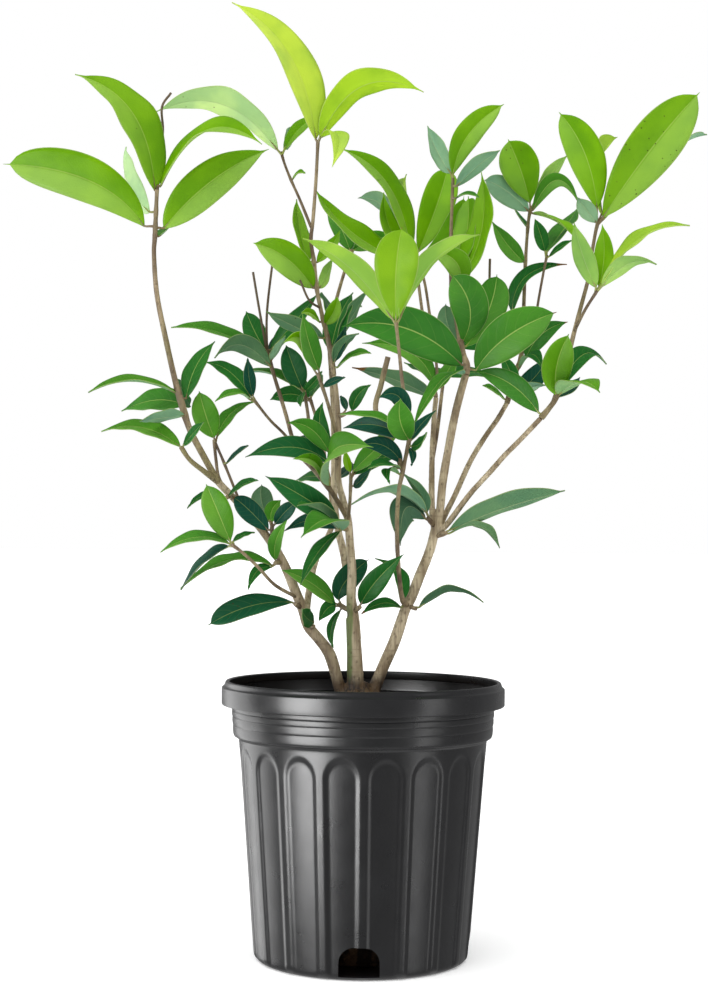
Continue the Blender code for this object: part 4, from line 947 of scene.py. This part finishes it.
def growLeaf(pattern, name, leaf, form):
    if len(leaf) > 7:
        outline = leaf[7]
    else:
        outline = "long" if form["slim"] < leafForms["longBelow"] else "oval"
    phases = [rng.uniform(0, 2 * math.pi) for k in range(2)]
    waveCount = rng.uniform(*leafForms["waveCounts"])
    waves = leafForms["waves"] * rng.uniform(*leafForms["waveRange"])
    twist = leafForms["twist"] * rng.uniform(-1, 1)
    fold = leafForms["fold"] * rng.uniform(*leafForms["foldRange"])
    marks = {"leafTone": leaf[6], "leafShade": rng.random(), "leafDry": dryTips.get(leaf[2], 0.0),
             "leafSpots": float(leaf[2] in spottedLeaves)}
    grooveDepth, grooveWidth, grooveFull = leafForms["groove"]
    curlDrop, curlFrom = leafForms["curl"]
    mesh = pattern.data.copy()
    rows = {}
    paintedLights = []
    for vertex in mesh.vertices:
        u, t, below = vertex.co
        if t not in rows:
            point, along = midribAt(form, t)
            normal = (form["face"] - along * form["face"].dot(along)).normalized()
            turn = twist * (t - leafForms["twistMiddle"]) * math.sin(math.pi * t)
            turned = normal * math.cos(turn) + along.cross(normal) * math.sin(turn)
            rows[t] = (point, turned, along.cross(turned), halfWidth(outline, t, form["wide"]))
        point, normal, across, half = rows[t]
        beside = u * half
        rise = half * fold * (abs(u) - leafForms["foldFlatter"] * u * u)
        wave = math.sin(waveCount * 2 * math.pi * t + phases[u > 0]) * math.sin(math.pi * t)
        rise += waves * half * wave * u * u
        groove = grooveDepth * math.exp(-((beside / grooveWidth) ** 2)) * min(1, half / grooveFull)
        curl = curlDrop * max(0, abs(u) - curlFrom) / (1 - curlFrom)
        vertex.co = point + across * beside + normal * (rise - groove - curl + below)
        # How far this point's half of the blade tilts down, which the skin paints lighter as painted light
        paintedLights.append(abs(across.z) if u * across.z < 0 else 0.0)
    for mark, value in marks.items():
        setAttribute(mesh, mark, [value] * len(paintedLights))
    setAttribute(mesh, "leafPaintedLight", paintedLights)
    return addObject(name, mesh)


# A smooth path through points, with a point about every spacing metres
def smoothPath(points, spacing):
    ends = [points[0] * 2 - points[1], *points, points[-1] * 2 - points[-2]]
    path = []
    for a, b, c, d in zip(ends, ends[1:], ends[2:], ends[3:]):
        steps = max(1, round((c - b).length / spacing))
        for k in range(steps):
            t = k / steps
            curve = (a * -1 + b * 3 - c * 3 + d) * t ** 3
            path.append((b * 2 + (c - a) * t + (a * 2 - b * 5 + c * 4 - d) * t * t + curve) / 2)
    path.append(points[-1])
    return path


# Radii along a path that go evenly from first to last
def taperedRadii(path, first, last):
    lengths = [0.0]
    for a, b in zip(path, path[1:]):
        lengths.append(lengths[-1] + (b - a).length)
    return [first + (last - first) * s / lengths[-1] for s in lengths]


# The path of a cane or twig of the tables, with its radii
def woodyPath(first, last, points, spacing):
    path = smoothPath([place(x, y, back / 1000) for x, y, back in points], spacing)
    return path, taperedRadii(path, first * view["pixelSize"] / 2, last * view["pixelSize"] / 2)


# Closed round tubes, each a path with its radii, as one mesh
def makeTubes(name, tubes, roundness):
    curve = bpy.data.curves.new(name, "CURVE")
    curve.dimensions = "3D"
    curve.bevel_depth = 1.0
    curve.bevel_resolution = roundness
    curve.use_fill_caps = True
    for path, radii in tubes:
        spline = curve.splines.new("POLY")
        spline.points.add(len(path) - 1)
        for point, spot, radius in zip(spline.points, path, radii):
            point.co = (*spot, 1)
            point.radius = radius
    pick(addObject(name, curve))
    bpy.ops.object.convert(target="MESH")
    made = bpy.context.object
    faceOutwards(made)
    made.data.shade_smooth()
    return made


twigForms = {
    "spacing": 0.003,
    "roundness": 3,
    "bumps": 0.05,
    "bumpsPerMetre": 150,
    "swelling": 0.22,          # how much fatter a twig is at a leaf's root
    "swellReach": 0.004,
    "stalkSpacing": 0.002,
    "stalkRoundness": 2,
    "stalkRadii": (0.00115, 0.0009, 0.0008, 0.0006, 0.0004),
    "stalkSunk": 0.0008,       # how deep a stalk's end lies under its blade
    "stalkEnds": (0.04, 0.10),    # how far it runs along the rib
}


def makeTwigs(name, twigs, roots):
    pieces = []
    for first, last, points in twigs:
        path, radii = woodyPath(first, last, points, twigForms["spacing"])
        for k, spot in enumerate(path):
            near = min((spot - root).length for root in roots) / twigForms["swellReach"]
            bump = twigForms["bumps"] * noise.noise(spot * twigForms["bumpsPerMetre"])
            radii[k] *= 1 + twigForms["swelling"] * math.exp(-near * near) + bump
        made = makeTubes(name, [(path, radii)], twigForms["roundness"])
        dress(made, leafSkins, 2)
        setAttribute(made.data, "twigWidth", [(first + last) / 2] * len(made.data.vertices))
        pieces.append(made)
    return pieces


def makeStalks(name, forms):
    tubes = []
    steps = len(twigForms["stalkRadii"]) - 1
    for form in forms:
        root, start = form["root"], form["start"]
        sunk = form["face"] * twigForms["stalkSunk"]
        points = [root, root.lerp(start, 0.5), start - sunk * 0.5]
        points += [midribAt(form, t)[0] - sunk for t in twigForms["stalkEnds"]]
        path = smoothPath(points, twigForms["stalkSpacing"])
        radii = []
        for k in range(len(path)):
            share = k / (len(path) - 1) * steps
            low = min(int(share), steps - 1)
            a, b = twigForms["stalkRadii"][low:low + 2]
            radii.append(a + (b - a) * (share - low))
        tubes.append((path, radii))
    made = makeTubes(name, tubes, twigForms["stalkRoundness"])
    dress(made, leafSkins, 3)
    return made


def makeShoot(name, twigs, leaves, pattern):
    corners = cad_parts[name].data.vertices
    tree = KDTree(len(corners))
    for vertex in corners:
        tree.insert(vertex.co, vertex.index)
    tree.balance()
    forms = [settledForm(twigs, leaf, tree) for leaf in leaves]
    pieces = makeTwigs(name + "Twig", twigs, [form["root"] for form in forms])
    pieces.append(makeStalks(name + "Stalks", forms))
    for k, (leaf, form) in enumerate(zip(leaves, forms)):
        pieces.append(growLeaf(pattern, f"{name}Leaf{k}", leaf, form))
    shoot = joinPieces(name + "Leaves", pieces)
    for vertex in shoot.data.vertices:
        vertex.co = [min(max(c, low), high) for c, low, high in zip(vertex.co, *cadBounds)]
    settle(shoot, "leaf", name)


# The woody frame: canes that fork from a flared crown
caneForms = {
    "spacing": 0.004,
    "roundness": 4,
    "bumps": 0.07,
    "bumpsPerMetre": 60,
    "crownX": -0.0046,
    "crownRings": ((0.1785, 0.0120), (0.190, 0.0155), (0.204, 0.0158), (0.212, 0.0112), (0.220, 0.0082)),
    "voxel": 0.0011,
    "smoothing": 3,
    "rootlets": 26,
    "rootletRadius": 0.0009,
    "rootletTop": (0.214, 0.224),
    "rootletHeights": (0.2135, 0.2085, 0.2035),
    "rootletBends": (0.0045, 0.0105),
    "rootletReach": (0.016, 0.027),
    "rootletStray": 0.004,
    "rootletSpacing": 0.0015,
}


# Thin roots that run from the crown down into the mix
def rootletTubes():
    tubes = []
    for k in range(caneForms["rootlets"]):
        angle = 2 * math.pi * (k + rng.uniform(-0.3, 0.3)) / caneForms["rootlets"]
        out = Vector((math.cos(angle), math.sin(angle), 0))
        stray = rng.uniform(-caneForms["rootletStray"], caneForms["rootletStray"])
        beside = Vector((-out.y, out.x, 0)) * stray
        heights = (rng.uniform(*caneForms["rootletTop"]), *caneForms["rootletHeights"])
        reach = rng.uniform(*caneForms["rootletReach"])
        near, bend = caneForms["rootletBends"]
        steps = (out * near, out * bend, out * reach * 0.8, out * reach)
        middle = Vector((caneForms["crownX"], 0, 0))
        points = [middle + step + beside * part + Vector((0, 0, z))
                  for part, (step, z) in enumerate(zip(steps, heights))]
        path = smoothPath(points, caneForms["rootletSpacing"])
        radius = caneForms["rootletRadius"] * rng.uniform(0.8, 1.5)
        tubes.append((path, taperedRadii(path, radius, radius * 0.7)))
    return tubes


def makeCanes():
    path = [Vector((caneForms["crownX"], 0, z)) for z, _ in caneForms["crownRings"]]
    tubes = [(path, [radius for _, radius in caneForms["crownRings"]])]
    for cane in canes.values():
        path, radii = woodyPath(*cane, caneForms["spacing"])
        bumps = [noise.noise(spot * caneForms["bumpsPerMetre"]) for spot in path]
        tubes.append((path, [r * (1 + caneForms["bumps"] * bump) for r, bump in zip(radii, bumps)]))
    tubes += rootletTubes()
    made = makeTubes("woodyCanes", tubes, caneForms["roundness"])
    applyModifier(made, "REMESH", mode="VOXEL", voxel_size=caneForms["voxel"])
    applyModifier(made, "SMOOTH", factor=0.5, iterations=caneForms["smoothing"])
    made.data.shade_smooth()
    dress(made, [oldBark])
    settle(made, "bark", "woody_canes")


# The can: a lathe outline of radius and height, then arched flutes and drain openings
can = {
    "sides": 540,
    "foot": ((0.068, 0.0015), (0.070, 0.0003), (0.071, 0.0), (0.079, 0.0)),
    "baseRadius": 0.0795,
    "corner": 0.0072,
    "cornerRings": 5,
    "lowRadius": 0.0862,       # the body widens evenly between two heights
    "lowHeight": 0.004,
    "topRadius": 0.0989,
    "topHeight": 0.1735,
    "bodyRings": ((0.007, 0.010, 2), (0.010, 0.145, 9), (0.145, 0.1702, 14), (0.1702, 0.1718, 1)),
    "ledge": ((0.0989, 0.1735), (0.0991, 0.1752), (0.0995, 0.1760), (0.1004, 0.1766), (0.1016, 0.1770),
              (0.1026, 0.1774), (0.1031, 0.1780)),
    "rolls": (0.1782, 0.1860, 0.1928, 0.1978, 0.2014),     # heights between the collar's rounded rolls
    "rollRings": 8,
    "rollFoot": (0.1033, 0.1778),
    "rollSlope": 0.069,
    "rollSwell": 0.00055,
    "rollShape": (0.35, 0.6),  # how full a roll is, and how far its groove cuts in
    "band": ((0.1050, 0.2015), (0.1052, 0.2019), (0.1060, 0.2022), (0.1120, 0.2022), (0.1127, 0.2025),
             (0.1130, 0.2032), (0.1130, 0.2090), (0.1130, 0.2150), (0.1128, 0.2158), (0.1123, 0.2163),
             (0.1116, 0.2168), (0.1110, 0.2176), (0.1105, 0.2188), (0.1101, 0.2200), (0.1095, 0.2208),
             (0.1090, 0.2210)),
    "inside": ((0.1084, 0.2210), (0.1075, 0.2208), (0.1070, 0.2202), (0.1070, 0.2152), (0.1073, 0.2146),
               (0.1106, 0.2143), (0.1111, 0.2139), (0.1112, 0.2060), (0.1110, 0.2046), (0.1104, 0.2040),
               (0.1040, 0.2036), (0.1033, 0.2030), (0.1030, 0.2018), (0.1014, 0.1778), (0.1008, 0.1762)),
    "innerHeights": (0.1725, 0.10, 0.03, 0.0045),
    "wall": 0.0018,
    "floor": 0.0025,
    "floorCorner": 0.002,      # how far the inner wall turns in where it meets the floor
    "nearly": 0.001,           # how close to an outline counts as on it
    "flutes": 18,
    "fluteTurn": 0.6,
    "fluteDepth": 0.0015,
    "fluteHalf": 8.65,         # degrees from a flute's middle to its edge
    "slope": 0.0044,
    "spring": 0.153,           # where the flutes' arched tops begin
    "archTop": 0.1705,
    "footFade": (0.0005, 0.0060),
    "drains": 4,
    "drainTurn": -1.0,
    "drainWidth": 0.0314,
    "drainTop": 0.026,
    "drainLift": 0.0004,       # how far above the can's floor an opening starts
    "drainCut": 0.05,
    "shoulder": 0.0122,
    "shoulderSteps": 8,
    "sharpAngle": 35,
}


def wallRadius(z):
    share = (z - can["lowHeight"]) / (can["topHeight"] - can["lowHeight"])
    return can["lowRadius"] + (can["topRadius"] - can["lowRadius"]) * share


def canOutline():
    rings = list(can["foot"])
    corner = can["corner"]
    for k in range(1, can["cornerRings"] + 1):
        angle = math.pi / 2 * k / can["cornerRings"]
        rings.append((wallRadius(corner) - corner * (1 - math.sin(angle)), corner * (1 - math.cos(angle))))
    for low, high, count in can["bodyRings"]:
        heights = [low + (high - low) * k / count for k in range(1, count + 1)]
        rings += [(wallRadius(z), z) for z in heights]
    rings += can["ledge"]
    footRadius, footHeight = can["rollFoot"]
    power, cut = can["rollShape"]
    for low, high in zip(can["rolls"], can["rolls"][1:]):
        for k in range(can["rollRings"]):
            share = k / can["rollRings"]
            z = low + (high - low) * share
            swell = can["rollSwell"] * (math.sin(math.pi * share) ** power - cut)
            rings.append((footRadius + (z - footHeight) * can["rollSlope"] + swell, z))
    rings += can["band"] + can["inside"]
    inner = can["fluteDepth"] + can["wall"]
    rings += [(wallRadius(z) - inner, z) for z in can["innerHeights"]]
    rings.append((rings[-1][0] - can["floorCorner"], can["floor"]))
    return rings


# Goes smoothly from 0 to 1 as value goes from low to high
def ease(value, low, high):
    share = min(max((value - low) / (high - low), 0), 1)
    return share * share * (3 - 2 * share)


# How deep in a flute a point of the wall lies, from 0 to 1
def fluteShare(angle, z):
    pitch = 360 / can["flutes"]
    local = abs((angle - can["fluteTurn"] + 90) % pitch - pitch / 2)
    beside = math.radians(local) * wallRadius(z)
    half = math.radians(can["fluteHalf"]) * wallRadius(z)
    inside = half - beside
    if z > can["spring"]:
        rise = can["archTop"] - can["spring"]
        inside = half * (1 - math.hypot(beside / half, (z - can["spring"]) / rise))
    return ease(inside, 0, can["slope"]) * ease(z, *can["footFade"])


def makeDrainCutter(turn):
    bpy.ops.object.select_all(action="DESELECT")
    bpy.ops.mesh.primitive_cube_add(size=1, location=(0, 0, 0))
    cutter = bpy.context.object
    low = can["floor"] + can["drainLift"]
    tall = can["drainTop"] - low
    bpy.ops.object.mode_set(mode="EDIT")
    bpy.ops.transform.resize(value=(can["drainWidth"], can["drainCut"], tall))
    bpy.ops.transform.translate(value=(0, -can["lowRadius"], low + tall / 2))
    bpy.ops.mesh.select_mode(type="EDGE")
    bpy.ops.mesh.select_all(action="DESELECT")
    bm = bmesh.from_edit_mesh(cutter.data)
    for edge in bm.edges:                  # the two upper edges that run into the can
        middle = (edge.verts[0].co + edge.verts[1].co) / 2
        high = middle.z > can["drainTop"] - can["nearly"]
        edge.select_set(high and abs(middle.x) > can["drainWidth"] / 3)
    bm.select_flush_mode()
    bmesh.update_edit_mesh(cutter.data)
    bpy.ops.mesh.bevel(offset=can["shoulder"], segments=can["shoulderSteps"], affect="EDGES")
    bpy.ops.mesh.select_all(action="SELECT")
    bpy.ops.transform.rotate(value=-math.radians(turn), orient_axis="Z", center_override=(0, 0, 0))
    bpy.ops.object.mode_set(mode="OBJECT")
    return cutter


def makeCan():
    made = makeLathe("nurseryCan", can["sides"], canOutline())
    for vertex in made.data.vertices:
        x, y, z = vertex.co
        radius = math.hypot(x, y)
        outer = can["baseRadius"] - can["nearly"] if z < can["corner"] else wallRadius(z) - can["wall"]
        if z < can["topHeight"] and radius > outer:
            angle = math.degrees(math.atan2(y, x))
            shrink = 1 - can["fluteDepth"] * fluteShare(angle, z) / radius
            vertex.co = (x * shrink, y * shrink, z)
    faceOutwards(made)
    for k in range(can["drains"]):
        cutter = makeDrainCutter(360 / can["drains"] * k + can["drainTurn"])
        applyModifier(made, "BOOLEAN", operation="DIFFERENCE", solver="EXACT", object=cutter)
        bpy.data.objects.remove(cutter, do_unlink=True)
    pick(made)
    bpy.ops.object.shade_smooth_by_angle(angle=math.radians(can["sharpAngle"]))
    dress(made, [canPlastic])
    settle(made, "can", "pot")


canSkin = {
    "colour": paint(20, 20, 22),
    "worn": paint(34, 35, 37),
    "wornShare": 0.35,
    "hazeScale": 22,
    "roughness": 0.30,
    "roughnessSpread": 0.16,
    "specular": 0.5,
    "grainScale": 1500,
    "dentScale": 24,
    "relief": 0.0004,
}


def makeCanPlastic(name):
    material, tree, shader, spot = newMaterial(name, canSkin["roughness"], canSkin["specular"])
    haze = smoothStep(tree, noiseOf(tree, spot, canSkin["hazeScale"], 4), 0.45, 0.75)
    colour = cover(tree, canSkin["colour"], haze, canSkin["wornShare"], canSkin["worn"])
    spread = canSkin["roughnessSpread"]
    rough = timesPlus(tree, noiseOf(tree, spot, 60, 4), spread, canSkin["roughness"] - spread / 2)
    tree.links.new(rough, shader.inputs["Roughness"])
    grain, dents = [noiseOf(tree, spot, canSkin[scale], 2) for scale in ("grainScale", "dentScale")]
    finishSkin(tree, shader, colour, timesPlus(tree, grain, 0.15, dents), canSkin["relief"])
    return material


# The potting mix: a mound that fills the can, with loose bark chips and perlite on it
mix = {
    "sides": 96,
    "foot": (0.048, 0.0032),   # drawn in behind the drain openings, which look black
    "wall": ((0.048, 0.0290), (0.0800, 0.0320), (0.0838, 0.080), (0.0935, 0.1700), (0.0962, 0.1730),
             (0.1000, 0.1775), (0.1010, 0.1960), (0.1000, 0.1975)),
    "rim": 0.1975,
    "top": 0.2070,
    "moundEdge": 0.1,
    "moundRings": 33,
    "moundStep": 0.0029,
    "moundPower": 0.8,
    "lumps": 0.0016,
    "lumpsPerMetre": 130,
    "lumpNoise": (0.6, 2.0, 4),
    "reach": 0.0985,
    "middle": 0.024,
    "margin": 0.004,
    "chips": 260,
    "chipBevel": 0.16,
    "chipSize": (0.004, 0.012),
    "chipFlatness": (0.25, 0.5),
    "perlite": 110,
    "perliteSize": (0.002, 0.004),
    "perliteFlatness": 0.8,
    "widths": (0.4, 0.9),      # a chip's or lump's width as a share of its length
    "tilt": 0.4,
    "dents": 0.12,
    "dentsPerMetre": 400,
}

mixSkin = {
    "dark": paint(34, 26, 20),
    "brown": paint(78, 58, 40),
    "chip": paint(112, 82, 54),
    "perlite": paint(224, 222, 214),
    "roughness": 0.85,
    "specular": 0.2,
    "relief": 0.0012,
}


def makeMixSkin(name, low, high, scale):
    material, tree, shader, spot = newMaterial(name, mixSkin["roughness"], mixSkin["specular"])
    grains = smoothStep(tree, noiseOf(tree, spot, scale, 6), 0.4, 0.62)
    colour = mixColours(tree, grains, mixSkin[low], mixSkin[high])
    finishSkin(tree, shader, colour, noiseOf(tree, spot, scale * 2, 5), mixSkin["relief"])
    return material


def moundHeight(radius):
    share = max(0.0, 1 - radius / mix["reach"])
    return mix["rim"] + (mix["top"] - mix["rim"]) * share ** mix["moundPower"]


def makeMix():
    rings = [mix["foot"], *mix["wall"]]
    radii = [mix["moundEdge"] - mix["moundStep"] * k for k in range(1, mix["moundRings"] + 1)]
    made = makeLathe("pottingMix", mix["sides"], rings + [(radius, moundHeight(radius)) for radius in radii])
    for vertex in made.data.vertices:
        if vertex.co.z > mix["rim"] - 0.0001:
            lump = noise.fractal(vertex.co * mix["lumpsPerMetre"], *mix["lumpNoise"])
            vertex.co.z += mix["lumps"] * lump - mix["lumps"] / 2
    faceOutwards(made)
    made.data.shade_smooth()
    dress(made, mixSkins)
    made = joinPieces("pottingMix", [made] + scatter("chips", 1) + scatter("perlite", 2))
    settle(made, "mix", "potting_mix")


# Noise along each axis. noise_vector gives other values in every run, so it isn't used.
def dentAt(spot):
    return Vector([noise.noise(spot + Vector((0, 0, 31 * axis))) for axis in range(3)])


# Chips or perlite lumps, strewn over the mound
def scatter(kind, skin):
    bpy.ops.object.select_all(action="DESELECT")
    if kind == "chips":
        bpy.ops.mesh.primitive_cube_add(size=1)
        pattern = bpy.context.object
        applyModifier(pattern, "BEVEL", width=mix["chipBevel"], segments=1)
    else:
        bpy.ops.mesh.primitive_ico_sphere_add(subdivisions=2, radius=0.5)
        pattern = bpy.context.object
        pattern.data.shade_smooth()
    dress(pattern, mixSkins, skin)
    pieces = []
    for k in range(mix[kind]):
        radius = math.sqrt(rng.uniform(mix["middle"] ** 2, (mix["reach"] - mix["margin"]) ** 2))
        angle = rng.uniform(0, 2 * math.pi)
        piece = addObject("lump", pattern.data.copy())
        if kind == "chips":
            size = rng.uniform(*mix["chipSize"])
            flat = rng.uniform(*mix["chipFlatness"])
        else:
            size = rng.uniform(*mix["perliteSize"])
            flat = mix["perliteFlatness"]
        piece.scale = (size, size * rng.uniform(*mix["widths"]), size * flat)
        tilts = [rng.uniform(-mix["tilt"], mix["tilt"]) for axis in range(2)]
        piece.rotation_euler = (*tilts, rng.uniform(0, 6.28))
        piece.location = (radius * math.cos(angle), radius * math.sin(angle), moundHeight(radius))
        pick(piece)
        bpy.ops.object.transform_apply(location=True, rotation=True, scale=True)
        for vertex in piece.data.vertices:
            vertex.co += dentAt(vertex.co * mix["dentsPerMetre"]) * size * mix["dents"]
        pieces.append(piece)
    bpy.data.objects.remove(pattern, do_unlink=True)
    return pieces


# A soft studio: a white room, a wide light from above and tall softboxes
studio = {
    "floorSize": 60,
    "floorColour": (0.92, 0.92, 0.92, 1),
    "floorRoughness": 0.8,
    "floorSpecular": 0.1,
    "floorGlow": 0.30,
    "backdrop": 1.0,
    "roomLight": 0.60,
    "roomGloss": 0.34,         # how bright the room is in reflections
    "floorGloss": 0.55,        # how much brighter it is straight below
    "floorGlossFrom": (-0.45, -0.85),
    "topStrength": 2.2,
    "topAngle": 80,            # degrees across the wide light
    "topTilt": (20, -12, 0),
    # azimuth from the front in degrees, distance, height, width, length, watts
    "softboxes": ((-46, 0.75, 0.27, 0.42, 0.80, 14.4), (-118, 0.90, 0.18, 0.74, 0.92, 5.3),
                  (53, 0.80, 0.18, 0.22, 0.92, 1.6)),
}


def makeFloor():
    bpy.ops.object.select_all(action="DESELECT")
    bpy.ops.mesh.primitive_plane_add(size=studio["floorSize"], location=(0, 0, 0))
    floor = bpy.context.object
    floor.name = "studioFloor"
    material, _, shader, _ = newMaterial("paleFloor", studio["floorRoughness"], studio["floorSpecular"])
    shader.inputs["Base Color"].default_value = studio["floorColour"]
    shader.inputs["Emission Color"].default_value = (1, 1, 1, 1)
    shader.inputs["Emission Strength"].default_value = studio["floorGlow"]
    dress(floor, [material])
    floor.visible_glossy = False
    floor.visible_shadow = False


# The room is white to the camera, softer as light, and softer still in reflections
def makeRoom():
    world = bpy.data.worlds.new("whiteRoom")
    world.use_nodes = True
    bpy.context.scene.world = world
    tree = world.node_tree
    tree.nodes.clear()
    path = addNode(tree, "LightPath").outputs
    light = studio["roomLight"]
    height = addNode(tree, "SeparateXYZ", {0: addNode(tree, "TexCoord").outputs["Generated"]}).outputs[2]
    below = times(tree, smoothStep(tree, height, *studio["floorGlossFrom"]), studio["floorGloss"])
    seen = calc(tree, "ADD", below, studio["roomGloss"] - light)
    gloss = timesPlus(tree, path["Is Glossy Ray"], seen, light)
    strength = timesPlus(tree, path["Is Camera Ray"], studio["backdrop"] - light, gloss)
    room = addNode(tree, "Background", {"Color": (1, 1, 1, 1), "Strength": strength})
    tree.links.new(room.outputs[0], addNode(tree, "OutputWorld").inputs[0])


def makeLights():
    bpy.ops.object.light_add(type="SUN", location=(0, 0, 3))
    top = bpy.context.object
    top.name = "topLight"
    top.data.energy = studio["topStrength"]
    top.data.angle = math.radians(studio["topAngle"])
    top.rotation_euler = [math.radians(angle) for angle in studio["topTilt"]]
    top.visible_glossy = False
    for azimuth, distance, height, wide, tall, watts in studio["softboxes"]:
        turn = math.radians(azimuth)
        spot = Vector((math.sin(turn) * distance, -math.cos(turn) * distance, height))
        bpy.ops.object.light_add(type="AREA", location=spot)
        box = bpy.context.object
        box.name = "softbox"
        box.data.shape = "RECTANGLE"
        box.data.size = wide
        box.data.size_y = tall
        box.data.energy = watts
        box.rotation_euler = (Vector((0, 0, height)) - spot).to_track_quat("-Z", "Y").to_euler()
        box.visible_camera = False
        box.visible_diffuse = False


def makeCamera():
    camera = addObject("photoCamera", bpy.data.cameras.new("photoCamera"))
    camera.location = (0, -view["eyeDistance"], view["eyeHeight"])
    camera.rotation_euler = (math.pi / 2, -view["roll"], 0)
    longer = view["pictureHeight"]
    data = camera.data
    data.sensor_width = view["sensor"]
    data.lens = view["eyeDistance"] / view["pixelSize"] / longer * view["sensor"]
    data.shift_x = (view["pictureWidth"] / 2 - view["aimX"]) / longer
    data.shift_y = (view["aimY"] - view["pictureHeight"] / 2) / longer
    bpy.context.scene.camera = camera


rng = random.Random(11)
bpy.context.scene.view_settings.view_transform = "Standard"
makeCamera()
makeFloor()
makeRoom()
makeLights()
print("Camera and studio ready")

# A shoot's faces carry the index of their skin here: 2 for its twigs and 3 for its leaf stalks
leafSkins = [makeLeafSkin("leafUpper", False), makeLeafSkin("leafUnder", True), makeBark("youngBark", True),
             makeStalkSkin("stalkSkin")]
oldBark = makeBark("oldBark", False)
canPlastic = makeCanPlastic("canPlastic")
mixSkins = [makeMixSkin("mixBase", "dark", "brown", 180), makeMixSkin("chipSkin", "dark", "chip", 90),
            makeMixSkin("perliteSkin", "perlite", "perlite", 200)]
print("Materials ready")

makeCan()
print("Can ready")
makeMix()
print("Potting mix ready")
makeCanes()
print("Canes ready")
pattern = makeBladePattern()
for name, (twigs, leaves) in shoots.items():
    makeShoot(name, twigs, leaves, pattern)
bpy.data.objects.remove(pattern, do_unlink=True)
print("Leafy shoots ready:", len(shoots))
